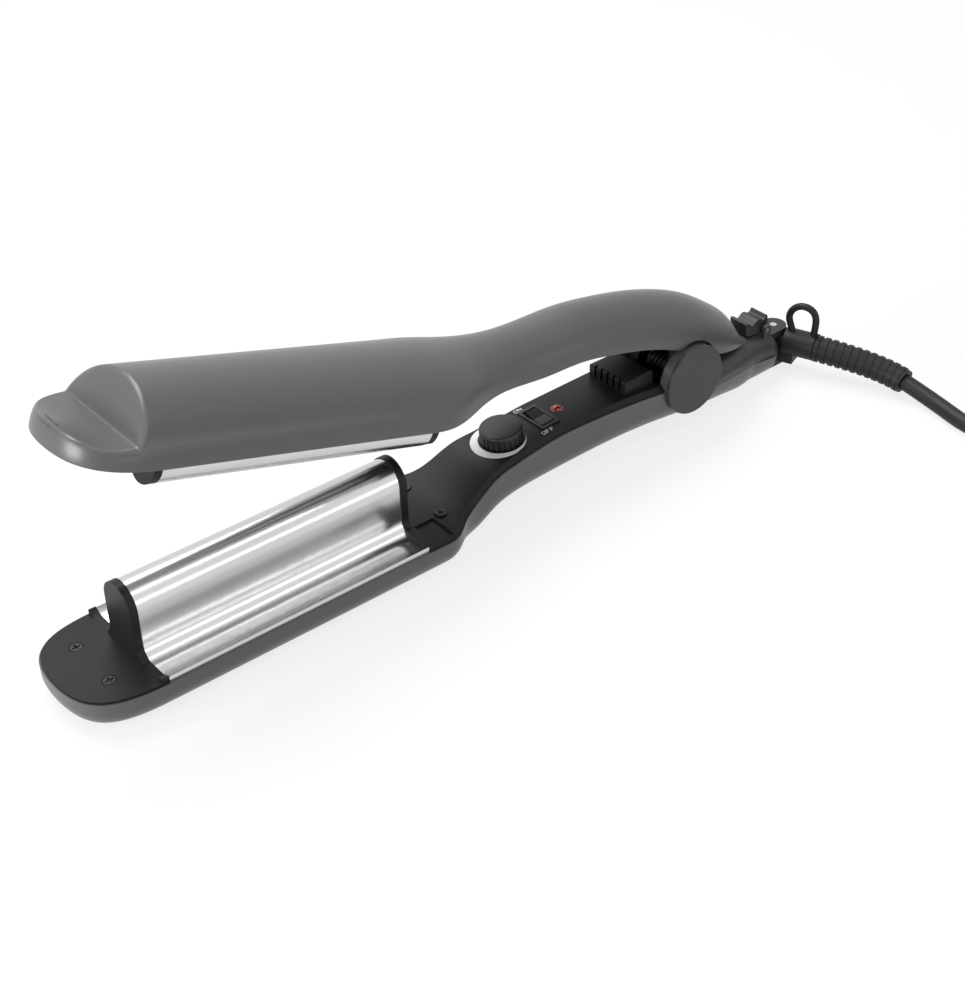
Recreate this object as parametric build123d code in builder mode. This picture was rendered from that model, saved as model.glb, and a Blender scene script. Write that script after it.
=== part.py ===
from build123d import *
from math import asin, cos, degrees, pi, radians, sin, tan
import os

# Hair waver: two long arms on a hinge, a ridged hot plate below and a grooved one above.
# Frame: millimetres, +Z up, +X from the nose to the cord, origin at the centre of the flat face
# under the lower head, on which the tool rests. The upper arm is drawn closed and is turned open
# about the hinge when it is written.

# ---- Driving dimensions -------------------------------------------------------------------------
# Heating plates
PLATE_LENGTH = 110.5
PLATE_HALF_WIDTH = 24.6
PLATE_WALL = 1.5
PLATE_EDGE_RISE = 2.4          # plate edge above the shell rim
RIDGE_HALF_WIDTH = 8.3
RIDGE_HEIGHT = 28.0            # ridge crest above the shell rim
TROUGH_DROP = 0.3              # trough below the shell rim
TROUGH_FILLET = 7.0
PLATE_GAP = 0.8                # between the plates when closed
PLATE_SIDE = 3.2               # upper plate hidden behind the shell's edge
LOBE_ROUND = 8.2
CHEEK_THICKNESS = 3.0
CHEEK_PROUD = 0.4
CHEEK_CLEARANCE = 0.4          # between the upper rear cheek and the panel under it
CHEEK_POCKET = 2.7             # room behind each cheek when the arms close

# Lower arm
HEAD_HALF_WIDTH = 25.5
HEAD_RIM = 12.4                # height of the shell rim along the head
WALL = 2.2
BOTTOM_ROUND = 9.0
CORNER_STEP = 3.5              # steps inside that follow the rounded bottom
NOSE_REACH = 31.0
NOSE_FULLNESS = 0.736          # 0.552 is an ellipse, 1 a rectangle
NECK_OFFSET = 9.0
NECK_LENGTH = 26.0
NECK_HALF_WIDTH = 16.0
NECK_CLIMB = 11.0              # from the neck's end to the straight slope
WAIST_HALF_WIDTH = 13.4
HINGE_X = 198.25
HINGE_Z = 25.4
HINGE_HALF_WIDTH = 16.6
SLOPE_START_RIM = 22.6         # rim at both ends of the straight slope that carries the knob
SLOPE_END_RIM = 25.0
SLOPE_LENGTH = 22.0
HANDLE_RIM = 25.7
HANDLE_BELLY = 7.5
PANEL_RISE = 2.4
PANEL_ROUND = 1.6
PANEL_WALL = 1.8
PANEL_DIP = 1.4                # of the rim from the handle's middle to the hinge
COVER_RISE = 1.0
COVER_INSET = 0.7
COVER_FIT = 0.2
COVER_DEPTH = 1.5              # part of a cover that reaches down inside the shell
COVER_LIP = 1.4
UPPER_COVER_FIT = 0.35         # covers inside the upper shell
REST_DEPTH = 1.0               # shallow pockets beside the rear cheek
REST_LENGTH = 10.0
BARREL_LENGTH = 57.5           # behind the hinge
BARREL_RADIUS = 9.8
BARREL_Z = 10.4
BARREL_SEAM = 5.0              # seam above the barrel's axis at its front
BARREL_TOP = 24.6
BARREL_FULLNESS = 0.75

# Upper arm
UPPER_HALF_WIDTH = 25.7
UPPER_RIM = 21.8
UPPER_CREST = 44.6
UPPER_WALL = 1.6
UPPER_NOSE_REACH = 29.5
UPPER_FULLNESS = 0.70
UPPER_SHOULDER = 0.5
OVAL = 0.5523                  # control points this share of the way out draw an ellipse
LIP_TOP = 30.8
SCOOP_LOW = 28.4
FACET_FOOT_Z = 29.0
FACET_SETBACK = 9.5            # foot of the facet, forward of the plate
FACET_LEAN = 17.0
OPEN_ANGLE = 16.7
TAIL_LENGTH = 41.0
UNDERSIDE_WALL = 1.6
# stations of the upper handle: share of the way (1 at the hinge, 2 at the tail), half width,
# lower edge above UPPER_RIM, top above UPPER_CREST
UPPER_LINE = [
    (0.00, 25.7, 0.0, 0.0),
    (0.05, 25.5, 0.6, 0.0),
    (0.12, 22.9, 2.6, -0.3),
    (0.18, 19.2, 4.6, -0.3),
    (0.24, 16.6, 6.7, 0.1),
    (0.32, 15.0, 8.7, 1.5),
    (0.42, 14.6, 11.1, 5.0),
    (0.53, 14.6, 15.2, 9.3),
    (0.66, 14.7, 17.3, 12.2),
    (0.81, 14.8, 17.7, 13.6),
    (0.92, 14.8, 16.0, 13.0),
    (1.08, 14.8, 13.6, 10.6),
    (1.45, 13.9, 12.2, 6.0),
    (1.75, 11.8, 12.8, -0.4),
    (1.90, 9.8, 13.3, -6.0),
    (2.00, 7.8, 13.5, -8.0),
]
# underside of the upper handle: share of the way, height above UPPER_RIM
UNDERSIDE_LINE = [
    (0.00, 0.7), (0.27, 8.2), (0.54, 15.8), (0.66, 18.0), (0.88, 20.4), (1.00, 21.4), (1.37, 19.4),
]

# Hinge
PIN_RADIUS = 2.5
PIN_FIT = 0.05
PIN_END = 14.6
BUSH_WALL = 1.0
EAR_RADIUS = 14.6
EAR_THICKNESS = 4.4
EAR_GAP = 0.6
KNUCKLE_RADIUS = 9.5
KNUCKLE_WIDTH = 5.0
KNUCKLE_WEB = 15.5
SIDE_CLEARANCE = 0.4
NOTCH_CLEARANCE = 1.6
CAP_THICKNESS = 1.6
CAP_RADIUS = 15.0
CAP_SPIGOT = 1.8
CAP_ROUND = 0.6
SPRING_WIRE = 0.9
SPRING_RADIUS = 5.0
SPRING_PITCH = 2.2
SPRING_COILS = 4
SPRING_LEG = 9.0
BLOCK_START = 32.2             # ahead of the hinge
BLOCK_LENGTH = 15.0
BLOCK_WIDTH = 21.0
BLOCK_HEIGHT = 7.0
BLOCK_GROOVES = 5
BLOCK_GROOVE_DEPTH = 1.2
BLOCK_ROUND = 1.2

# Controls on the panel, placed ahead of the hinge
KNOB_AHEAD = 87.5
KNOB_RADIUS = 8.5
KNOB_HEIGHT = 5.5
KNOB_CLEARANCE = 0.4
KNOB_RIBS = 24
KNOB_GROOVE = 0.5
KNOB_GROOVE_TOP = 4.0          # grooves end this far up the knob
KNOB_ROUND = 1.0
SCALE_RADIUS = 11.0
SCALE_HOLE = 9.4
SCALE_OFFSET = 1.8
SCALE_DEPTH = 0.2
SCALE_THICKNESS = 0.3
SHAFT_RADIUS = 3.0
SHAFT_CLEARANCE = 0.4
POT_RADIUS = 7.0
POT_HEIGHT = 6.0
POT_FOOT = 9.0
SWITCH_AHEAD = 68.7
SWITCH_LENGTH = 15.0           # across the handle
SWITCH_WIDTH = 9.0
SWITCH_DEPTH = 10.0
SWITCH_WALL = 1.2
SWITCH_STEP = 0.3              # bezel wider than the body below it
BEZEL_RISE = 0.5
ROCKER_CLEARANCE = 0.35
ROCKER_TILT = 8.0
ROCKER_PIVOT = 2.6             # below the panel
ROCKER_RISE = 0.5              # pressed half above the panel
ROCKER_DEPTH = 3.0
TRUNNION_RADIUS = 0.8
LAMP_AHEAD = 59.2
LAMP_RADIUS = 2.5
LAMP_RISE = 1.2
LAMP_FLANGE = 0.8
LAMP_DEPTH = 3.2
LED_RADIUS = 1.5
LED_HEIGHT = 5.0
LED_FLANGE = 0.4

# Inside
BOARD_LENGTH = 62.0
BOARD_WIDTH = 15.5
BOARD_THICKNESS = 1.6
BOARD_Z = 13.6
BOARD_AHEAD = 71.0             # board centre, ahead of the hinge
BOARD_SCREW_SPREAD = 52.0
BOARD_SCREW_LENGTH = 4.0
POST_RADIUS = 3.0
SCREW_RADIUS = 1.3
SCREW_HEAD_RADIUS = 2.3
SCREW_HEAD_HEIGHT = 1.4
SCREW_SLOT = 0.6
SCREW_SLOT_SPAN = 2.4          # length of a slot over the screw's radius
SCREW_LENGTH = 7.0
SCREW_CLEARANCE = 0.3
NOSE_SCREW_FORWARD = 15.5      # forward of the plate
NOSE_SCREW_SPREAD = 22.6
NECK_SCREW_BEHIND = 16.2
NECK_SCREW_SPREAD = 22.2
HEATER_LENGTH = 84.0
HEATER_HEIGHT = 7.0
HEATER_FIT = 0.4
HEATER_TOP = 31.0
UPPER_HEATER_WIDTH = 8.6
UPPER_HEATER_TOP = 27.0
CLAMP_THICKNESS = 0.8
CLAMP_WIDTH = 9.0
CLAMP_SPREAD = 48.0
CLAMP_FOOT = 6.0
SPRING_CLAMP_HEIGHT = 6.8
SPRING_CLAMP_INSET = 1.0       # of its web from the heater's edge
SPRING_CLAMP_STEP = 4.0        # straps narrower than the heater
SENSOR_RADIUS = 1.5
SENSOR_LENGTH = 8.0
FUSE_RADIUS = 2.0
FUSE_LENGTH = 11.0
WIRE_RADIUS = 1.0
WIRE_BEND = 4.0
WIRE_SPREAD = 6.0
WIRE_DOWN = 5.5                # heater wires turn down this far ahead of the plate's end
WIRE_LOW = 3.0                 # and run on this far below the covers
WIRE_STEP = 5.0                # their last slope starts and ends this far from neck and board
WIRE_LAP = 2.5                 # over the end of the board
MAINS_SLOPE = 10.0             # from the board to where the mains wires have climbed
MAINS_LAP = 2.0
# upper heater wires inside the handle: share of the way, height above UPPER_RIM
UPPER_WIRE_LINE = [(0.54, 20.0), (0.90, 25.0)]
UPPER_WIRE_START = 11.0        # above UPPER_RIM where they enter the handle
CORD_CLAMP_BEHIND = 31.75
CORD_CLAMP_SPREAD = 11.2
CORD_CLAMP_WIDTH = 7.0
CORD_CLAMP_THICKNESS = 2.0
CORD_CLAMP_POST = 2.4

# Lock on the barrel
LOCK_PIVOT_BACK = 3.25         # ahead of the barrel's end
LOCK_PIVOT_RISE = 13.0         # above the barrel's axis
LOCK_LENGTH = 11.4
LOCK_WIDTH = 9.0
LOCK_HEIGHT = 5.8
LOCK_DIP = 1.8
LOCK_HEEL = 2.1
LOCK_PIN_RADIUS = 1.0
LOCK_CLEARANCE = 0.5
LUG_THICKNESS = 1.8
LUG_RADIUS = 2.0

# Cord end
COLLAR_GAP = 0.4
COLLAR_RADIUS = 8.6
COLLAR_DISC = 2.1
SPIGOT_RADIUS = 5.0
FLANGE_RADIUS = 6.8
FLANGE_THICKNESS = 2.0
YOKE_SLOT = 12.2
YOKE_REACH = 7.6               # from the barrel's end to the pin of the boot
YOKE_RADIUS = 5.6
BOOT_PIN_RADIUS = 1.5
BOOT_EYE_RADIUS = 5.0
BOOT_EYE_CLEARANCE = 0.35
BOOT_ANGLE = 69.0
BOOT_BEND = 17.0               # its end bends on towards -Y
BOOT_DIP = 0.2
BOOT_RISE = 2.4                # boot's root above its pin's middle
BOOT_END_Z = 7.0
BOOT_LENGTH = 60.0
BOOT_START = 6.4
BOOT_CORE_RADIUS = 5.2
BOOT_RIB_RADIUS = 5.9
BOOT_RIBS = 12
BOOT_RIB_START = 20.0
BOOT_RIB_WIDTH = 1.8
BOOT_TAPER = 0.4               # ribs at the cord smaller than at the root
BOOT_SAG = 0.3                 # where the ribs start
LOOP_RADIUS = 1.5
LOOP_START = 8.2
LOOP_LENGTH = 10.6
LOOP_HEIGHT = 18.0
CORD_DIAMETER = 7.0
CORD_RUN = 17.0                # first straight run behind the strain relief
CORD_BEND = 36.0
# bends of the cord on the table, and the X of the two ends of its run into the coil
CORD_PLACES = [(282.0, -92.0), (285.5, -111.7), (300.3, -130.6)]
CORD_TO_COIL = (329.3, 357.0)
COIL_RADIUS = 38.5
COIL_WIDTH = 21.0
COIL_HEIGHT = 21.0
COIL_ROUND = 3.4
COIL_X = 366.0
COIL_Y = -98.0
TIE_WALL = 0.8
TIE_FIT = 0.4
TIE_WIDTH = 8.0
PLUG_LENGTH = 34.0
PLUG_HALF_WIDTH = 15.0
PLUG_THICKNESS = 14.0
PLUG_ROUND = 5.0
PLUG_NECK = 10.0
PLUG_AWAY = 32.0               # from the coil's middle line to the plug's neck
PLUG_PIN_RADIUS = 2.0
PLUG_PIN_LENGTH = 19.0
PLUG_PIN_SPREAD = 19.0
PLUG_PIN_ROUND = 1.0
PLUG_TAPER = 12.0
PLUG_RUN = 9.0                 # straight cord before the plug

# ---- Places worked out from them ----------------------------------------------------------------
TOP = 90.0                     # above everything, for cuts that go right through
BEYOND = 5.0                   # how far a cutting shape reaches past the edge it cuts
PLATE_END = PLATE_LENGTH / 2
NOSE_TIP = -PLATE_END - NOSE_REACH
UPPER_TIP = -PLATE_END - UPPER_NOSE_REACH
NECK_START = PLATE_END + NECK_OFFSET
NECK_END = NECK_START + NECK_LENGTH
SLOPE_START = NECK_END + NECK_CLIMB
SLOPE_END = SLOPE_START + SLOPE_LENGTH
COVER_END = HINGE_X - EAR_RADIUS - EAR_GAP
BARREL_START = HINGE_X + EAR_RADIUS + EAR_GAP
BARREL_END = HINGE_X + BARREL_LENGTH
PLATE_EDGE_Z = HEAD_RIM + PLATE_EDGE_RISE
TROUGH_Z = HEAD_RIM - TROUGH_DROP
CREST_Z = HEAD_RIM + RIDGE_HEIGHT
TROUGH_Y = RIDGE_HALF_WIDTH + TROUGH_FILLET
EDGE_RUN = PLATE_HALF_WIDTH - TROUGH_Y
EDGE_RISE = PLATE_EDGE_Z - TROUGH_Z
EDGE_RADIUS = (EDGE_RUN ** 2 + EDGE_RISE ** 2) / (2 * EDGE_RISE)
LOBE_Z = TROUGH_Z + PLATE_GAP + LOBE_ROUND
UPPER_PLATE_EDGE = TROUGH_Y + LOBE_ROUND
EAR_INNER = HINGE_HALF_WIDTH - EAR_THICKNESS
BUSH_RADIUS = PIN_RADIUS + PIN_FIT + BUSH_WALL
COVER_BOTTOM = HEAD_RIM - COVER_DEPTH
POST_TOP = COVER_BOTTOM - COVER_FIT
BOARD_X = HINGE_X - BOARD_AHEAD
BOARD_TOP = BOARD_Z + BOARD_THICKNESS
LOCK_X = BARREL_END - LOCK_PIVOT_BACK
LOCK_Z = BARREL_Z + LOCK_PIVOT_RISE
BOOT_X = BARREL_END + COLLAR_GAP + YOKE_REACH
HINGE_AXIS = Axis((HINGE_X, 0, HINGE_Z), (0, 1, 0))
BASE = (Align.CENTER, Align.CENTER, Align.MIN)
HANG = (Align.CENTER, Align.CENTER, Align.MAX)


def write(part, name):
    """Labels one piece and writes its file."""
    part.label = name
    export_step(part, "parts/" + name + ".step")


def write_open(part, name):
    """Writes one piece of the upper arm, turned from closed to open about the hinge."""
    write(part.rotate(HINGE_AXIS, OPEN_ANGLE), name)


def disc_y(x, z, radius, near, far):
    """Round disc with its axis across the arms, between y = near and y = far."""
    with BuildPart() as disc:
        with BuildSketch(Plane.XZ.offset(-far)):
            with Locations((x, z)):
                Circle(radius)
        extrude(amount=far - near)
    return disc.part


def rod(start, direction, radius, length):
    """Straight round bar from start."""
    with BuildPart() as bar:
        with BuildSketch(Plane(start, z_dir=direction)):
            Circle(radius)
        extrude(amount=length)
    return bar.part


def wire(points, bend, radius):
    """Round wire or cord along straight runs with rounded corners."""
    with BuildPart() as run:
        with BuildLine():
            route = FilletPolyline(*points, radius=bend)
        with BuildSketch(Plane(route @ 0, z_dir=route % 0)):
            Circle(radius)
        sweep()
    return run.part


def screws(places, length):
    """Pan-head screws with a cross slot; each place is the seat of a head."""
    with BuildPart() as set_of_screws:
        with Locations(*places):
            Cylinder(SCREW_HEAD_RADIUS, SCREW_HEAD_HEIGHT, align=BASE)
            Cylinder(SCREW_RADIUS, length, align=HANG)
        with Locations(*[(x, y, z + SCREW_HEAD_HEIGHT) for x, y, z in places]):
            Box(SCREW_SLOT_SPAN * SCREW_RADIUS, SCREW_SLOT, 2 * SCREW_SLOT, mode=Mode.SUBTRACT)
            Box(SCREW_SLOT, SCREW_SLOT_SPAN * SCREW_RADIUS, 2 * SCREW_SLOT, mode=Mode.SUBTRACT)
    return set_of_screws.part


def lower_plan(inset=0.0):
    """Plan of the lower arm from nose to barrel, drawn in by inset."""
    head_y = HEAD_HALF_WIDTH - inset
    tail_x = BARREL_END - inset
    with BuildSketch() as plan:
        with BuildLine():
            nose = Bezier(
                (NOSE_TIP + inset, 0),
                (NOSE_TIP + inset, NOSE_FULLNESS * head_y),
                (-PLATE_END - NOSE_FULLNESS * NOSE_REACH, head_y),
                (-PLATE_END, head_y),
            )
            head = Line(nose @ 1, (NECK_START, head_y))
            handle = Spline(
                head @ 1,
                (NECK_START + 0.5 * NECK_LENGTH, 0.47 * (HEAD_HALF_WIDTH + NECK_HALF_WIDTH) - inset),
                (NECK_END, NECK_HALF_WIDTH - inset),
                (NECK_END + 0.4 * (HINGE_X - NECK_END), WAIST_HALF_WIDTH - inset),
                (HINGE_X - 0.12 * (HINGE_X - NECK_END), 0.955 * HINGE_HALF_WIDTH - inset),
                (HINGE_X + 0.24 * BARREL_LENGTH, 0.955 * HINGE_HALF_WIDTH - inset),
                (HINGE_X + 0.72 * BARREL_LENGTH, BARREL_RADIUS + 1.2 - inset),
                (tail_x, BARREL_RADIUS - inset),
                tangents=[(1, 0), (1, -0.05)],
            )
            Line(handle @ 1, (tail_x, 0))
            mirror(about=Plane.XZ)
        make_face()
    return plan.sketch


def belly_line(rise=0.0):
    """Underside of the lower arm seen from the side, raised by rise."""
    flat = Line((NOSE_TIP - BEYOND, rise), (NECK_START + 0.6 * NECK_LENGTH, rise))
    return Spline(
        flat @ 1,
        (NECK_END + 0.25 * NECK_LENGTH, 0.6 * HANDLE_BELLY + rise),
        (NECK_END + NECK_LENGTH, 0.88 * HANDLE_BELLY + rise),
        (HINGE_X - BARREL_LENGTH, HANDLE_BELLY + rise),
        (HINGE_X - EAR_RADIUS, 1.08 * HANDLE_BELLY + rise),
        (HINGE_X + 0.46 * BARREL_LENGTH, 0.44 * HANDLE_BELLY + rise),
        (BARREL_END + BEYOND, BARREL_Z - BARREL_RADIUS + rise),
        tangents=[(1, 0), (1, 0)],
    )


def rim_line(rise=0.0):
    """Rim of the lower shell from the nose to the end of the panel, raised by rise."""
    climb = (SLOPE_LENGTH, SLOPE_END_RIM - SLOPE_START_RIM)
    head = Line((NOSE_TIP - BEYOND, HEAD_RIM + rise), (PLATE_END, HEAD_RIM + rise))
    neck = Spline(
        head @ 1,
        (NECK_START + 0.54 * NECK_LENGTH, 0.86 * HEAD_RIM + 0.14 * SLOPE_START_RIM + rise),
        (NECK_END, 0.36 * HEAD_RIM + 0.64 * SLOPE_START_RIM + rise),
        (SLOPE_START, SLOPE_START_RIM + rise),
        tangents=[(1, 0), climb],
    )
    slope = Line(neck @ 1, (SLOPE_END, SLOPE_END_RIM + rise))
    return Spline(
        slope @ 1,
        (0.6 * SLOPE_END + 0.4 * COVER_END, HANDLE_RIM + rise),
        (COVER_END, HANDLE_RIM - PANEL_DIP + rise),
        tangents=[climb, (1, -0.09)],
    )


def panel_spot(ahead):
    """Plane on top of the panel, ahead of the hinge by that much."""
    with BuildLine() as side:
        rim_line(PANEL_RISE)
    curve = side.wire()
    low, high = 0.0, 1.0
    for _ in range(30):
        middle = (low + high) / 2
        if (curve @ middle).X < HINGE_X - ahead:
            low = middle
        else:
            high = middle
    place, way = curve @ low, curve % low
    return Plane((place.X, 0, place.Y), x_dir=(way.X, 0, way.Y), z_dir=(-way.Y, 0, way.X))


def lower_body(inset=0.0, floor=0.0, above=0.0):
    """Lower arm under its rim; inset, floor and above make a room inside it."""
    with BuildPart() as body:
        with BuildSketch(Plane.XY.offset(-BEYOND)):
            add(lower_plan(inset))
        extrude(amount=TOP)
        with BuildSketch(Plane.XZ):
            with BuildLine():
                belly = belly_line(floor)
                rim = rim_line(above)
                seam = Polyline(
                    rim @ 1,
                    (BARREL_START, BARREL_Z + BARREL_SEAM + above),
                    (BARREL_END, BARREL_Z + above),
                    (BARREL_END + BEYOND, BARREL_Z + above),
                )
                Line(seam @ 1, belly @ 1)
                Line((NOSE_TIP - BEYOND, floor), (NOSE_TIP - BEYOND, HEAD_RIM + above))
            make_face()
        extrude(amount=HEAD_HALF_WIDTH + BEYOND, both=True, mode=Mode.INTERSECT)
    return body.part


def side_edges(faces):
    """Edges of these faces that run along the arms."""
    return faces.edges().filter_by(lambda e: abs((e @ 0).Y) > 0.1 and abs((e @ 1).X - (e @ 0).X) > 0.5)


def panel_block(inset, low, high):
    """Lower arm's plan between two heights above its rim, from the plate to the hinge."""
    with BuildPart() as block:
        with BuildSketch():
            add(lower_plan(inset))
        extrude(amount=TOP)
        with BuildSketch(Plane.XZ):
            with BuildLine():
                bottom = rim_line(low)
                top = rim_line(high)
                Line(bottom @ 1, top @ 1)
                Line((NOSE_TIP - BEYOND, HEAD_RIM + low), (NOSE_TIP - BEYOND, HEAD_RIM + high))
            make_face()
        extrude(amount=HEAD_HALF_WIDTH + BEYOND, both=True, mode=Mode.INTERSECT)
        split(bisect_by=Plane.YZ.offset(PLATE_END), keep=Keep.TOP)
    return block.part


def dome_line(half_width, low, shoulder, top, fullness):
    """Outline of short straight sides under a crown; fullness squares its shoulders."""
    rise = top - shoulder
    side = Line((half_width, low), (half_width, shoulder))
    Bezier(side @ 1, (half_width, shoulder + fullness * rise), (fullness * half_width, top), (0, top))
    mirror(about=Plane.YZ)
    Line((half_width, low), (-half_width, low))


def barrel_body(inset=0.0, front=0.0, seam_drop=0.0):
    """Barrel behind the hinge above its seam; inset, front and seam_drop make the room inside it."""
    stations = (
        (BARREL_START - front, HINGE_HALF_WIDTH, BARREL_TOP),
        (HINGE_X + 0.5 * BARREL_LENGTH, 0.5 * (HINGE_HALF_WIDTH + BARREL_RADIUS) + 1.4, BARREL_TOP - 0.8),
        (HINGE_X + 0.72 * BARREL_LENGTH, BARREL_RADIUS + 1.5, BARREL_TOP - 2.1),
        (BARREL_END + BEYOND, BARREL_RADIUS, BARREL_Z + BARREL_RADIUS - 0.8),
    )
    with BuildPart() as barrel:
        for x, half_width, top in stations:
            with BuildSketch(Plane.YZ.offset(x)):
                with BuildLine():
                    dome_line(half_width - inset, 0, BARREL_Z, top - inset, BARREL_FULLNESS)
                make_face()
        loft()
        with BuildSketch():
            add(lower_plan(inset))
        extrude(amount=TOP, mode=Mode.INTERSECT)
        with BuildSketch(Plane.XZ):
            with BuildLine():
                Polyline(
                    (BARREL_START - front - 1, BARREL_Z + BARREL_SEAM - seam_drop),
                    (BARREL_START, BARREL_Z + BARREL_SEAM - seam_drop),
                    (BARREL_END, BARREL_Z - seam_drop),
                    (BARREL_END + 2 * BEYOND, BARREL_Z - seam_drop),
                    (BARREL_END + 2 * BEYOND, -TOP),
                    (BARREL_START - front - 1, -TOP),
                    close=True,
                )
            make_face()
        extrude(amount=HEAD_HALF_WIDTH, both=True, mode=Mode.SUBTRACT)
    return barrel.part


def wave_line(grow, reach):
    """Half of the lower plate's wave from crest to edge, offset outward by grow, out to y = reach."""
    foot = (RIDGE_HALF_WIDTH + grow, TROUGH_Z + TROUGH_FILLET)
    turn = degrees(asin((reach - TROUGH_Y) / (EDGE_RADIUS - grow)))
    CenterArc((0, CREST_Z - RIDGE_HALF_WIDTH), RIDGE_HALF_WIDTH + grow, 0, 90)
    Line((RIDGE_HALF_WIDTH + grow, CREST_Z - RIDGE_HALF_WIDTH), foot)
    CenterArc((TROUGH_Y, TROUGH_Z + TROUGH_FILLET), TROUGH_FILLET - grow, 180, 90)
    return CenterArc((TROUGH_Y, TROUGH_Z + EDGE_RADIUS), EDGE_RADIUS - grow, 270, turn)


def arch_line(grow):
    """Half of the upper plate's section from crest to side, grow away from the lower plate."""
    foot = (RIDGE_HALF_WIDTH + grow, TROUGH_Z + TROUGH_FILLET)
    lobe = LOBE_ROUND - grow + PLATE_GAP
    CenterArc((0, CREST_Z - RIDGE_HALF_WIDTH), RIDGE_HALF_WIDTH + grow, 0, 90)
    Line((RIDGE_HALF_WIDTH + grow, CREST_Z - RIDGE_HALF_WIDTH), foot)
    CenterArc((TROUGH_Y, TROUGH_Z + TROUGH_FILLET), TROUGH_FILLET - grow, 180, 90)
    CenterArc((TROUGH_Y, LOBE_Z), lobe, 270, 90)
    return Line((TROUGH_Y + lobe, LOBE_Z), (TROUGH_Y + lobe, UPPER_RIM + PLATE_SIDE))


def upper_x(share):
    """Place along the upper handle: 0 at the plate's end, 1 at the hinge, 2 at the tail."""
    if share < 1:
        return PLATE_END + share * (HINGE_X - PLATE_END)
    return HINGE_X + (share - 1) * TAIL_LENGTH


def upper_body(inset=0.0, skirt=0.0):
    """Upper arm, closed; inset and skirt turn it into its own cavity, open below."""
    stations = UPPER_LINE[:-1] if inset else UPPER_LINE
    foot_x = -PLATE_END - FACET_SETBACK + inset / cos(radians(FACET_LEAN))
    with BuildPart() as body:
        with BuildSketch(Plane.YZ.offset(UPPER_TIP - BEYOND)):
            with BuildLine():
                dome_line(
                    UPPER_HALF_WIDTH - inset,
                    UPPER_RIM - skirt,
                    UPPER_RIM + UPPER_SHOULDER,
                    UPPER_CREST - inset,
                    OVAL,
                )
            make_face()
        extrude(amount=PLATE_END - UPPER_TIP + BEYOND)
        with BuildSketch():
            with BuildLine():
                nose = Bezier(
                    (UPPER_TIP + inset, 0),
                    (UPPER_TIP + inset, UPPER_FULLNESS * (UPPER_HALF_WIDTH - inset)),
                    (-PLATE_END - UPPER_FULLNESS * UPPER_NOSE_REACH, UPPER_HALF_WIDTH - inset),
                    (-PLATE_END, UPPER_HALF_WIDTH - inset),
                )
                Polyline(nose @ 1, (PLATE_END + BEYOND, UPPER_HALF_WIDTH - inset), (PLATE_END + BEYOND, 0))
                mirror(about=Plane.XZ)
            make_face()
        extrude(amount=TOP, mode=Mode.INTERSECT)
        with BuildSketch(Plane.XZ):
            with BuildLine():
                lip = Line((UPPER_TIP - BEYOND, LIP_TOP - inset), (UPPER_TIP, LIP_TOP - inset))
                scoop = Spline(
                    lip @ 1,
                    (0.5 * (UPPER_TIP + foot_x), SCOOP_LOW - inset),
                    (foot_x, FACET_FOOT_Z - inset),
                )
                Polyline(
                    scoop @ 1,
                    (foot_x + (TOP - FACET_FOOT_Z) * tan(radians(FACET_LEAN)), TOP),
                    (UPPER_TIP - BEYOND, TOP),
                    lip @ 0,
                )
            make_face()
        extrude(amount=UPPER_HALF_WIDTH + BEYOND, both=True, mode=Mode.SUBTRACT)
        for share, half_width, low, top in stations:
            with BuildSketch(Plane.YZ.offset(upper_x(share))):
                with BuildLine():
                    edge = UPPER_RIM + low
                    dome_line(
                        half_width - inset,
                        edge - skirt,
                        edge + UPPER_SHOULDER,
                        UPPER_CREST + top - inset,
                        OVAL,
                    )
                make_face()
        loft()
    return body.part


# ---- Lower arm: shell ---------------------------------------------------------------------------
os.makedirs("parts", exist_ok=True)
with BuildPart() as lower_outer:
    add(lower_body())
    belly_faces = lower_outer.faces().filter_by(lambda f: f.normal_at(f.center()).Z < -0.8)
    fillet(side_edges(belly_faces), radius=BOTTOM_ROUND)
cover_screw_places = [
    (-PLATE_END - NOSE_SCREW_FORWARD, -NOSE_SCREW_SPREAD / 2),
    (-PLATE_END - NOSE_SCREW_FORWARD, NOSE_SCREW_SPREAD / 2),
    (PLATE_END + NECK_SCREW_BEHIND, -NECK_SCREW_SPREAD / 2),
    (PLATE_END + NECK_SCREW_BEHIND, NECK_SCREW_SPREAD / 2),
]
board_screw_places = [(BOARD_X - BOARD_SCREW_SPREAD / 2, 0), (BOARD_X + BOARD_SCREW_SPREAD / 2, 0)]
clamp_x = HINGE_X + CORD_CLAMP_BEHIND
clamp_z = BARREL_Z + WIRE_RADIUS + COVER_RISE
clamp_screw_places = [(clamp_x, -CORD_CLAMP_SPREAD / 2), (clamp_x, CORD_CLAMP_SPREAD / 2)]

spigot_bore = rod((BARREL_END - BEYOND, 0, BARREL_Z), (1, 0, 0), SPIGOT_RADIUS + PIN_FIT, 2 * BEYOND)

with BuildPart() as posts:
    with Locations(*cover_screw_places):
        Cylinder(POST_RADIUS, POST_TOP, align=BASE)
    with Locations(*board_screw_places):
        Cylinder(POST_RADIUS, BOARD_Z, align=BASE)
    with Locations(*clamp_screw_places):
        Cylinder(CORD_CLAMP_POST, clamp_z, align=BASE)
    add(lower_outer.part, mode=Mode.INTERSECT)

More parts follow.
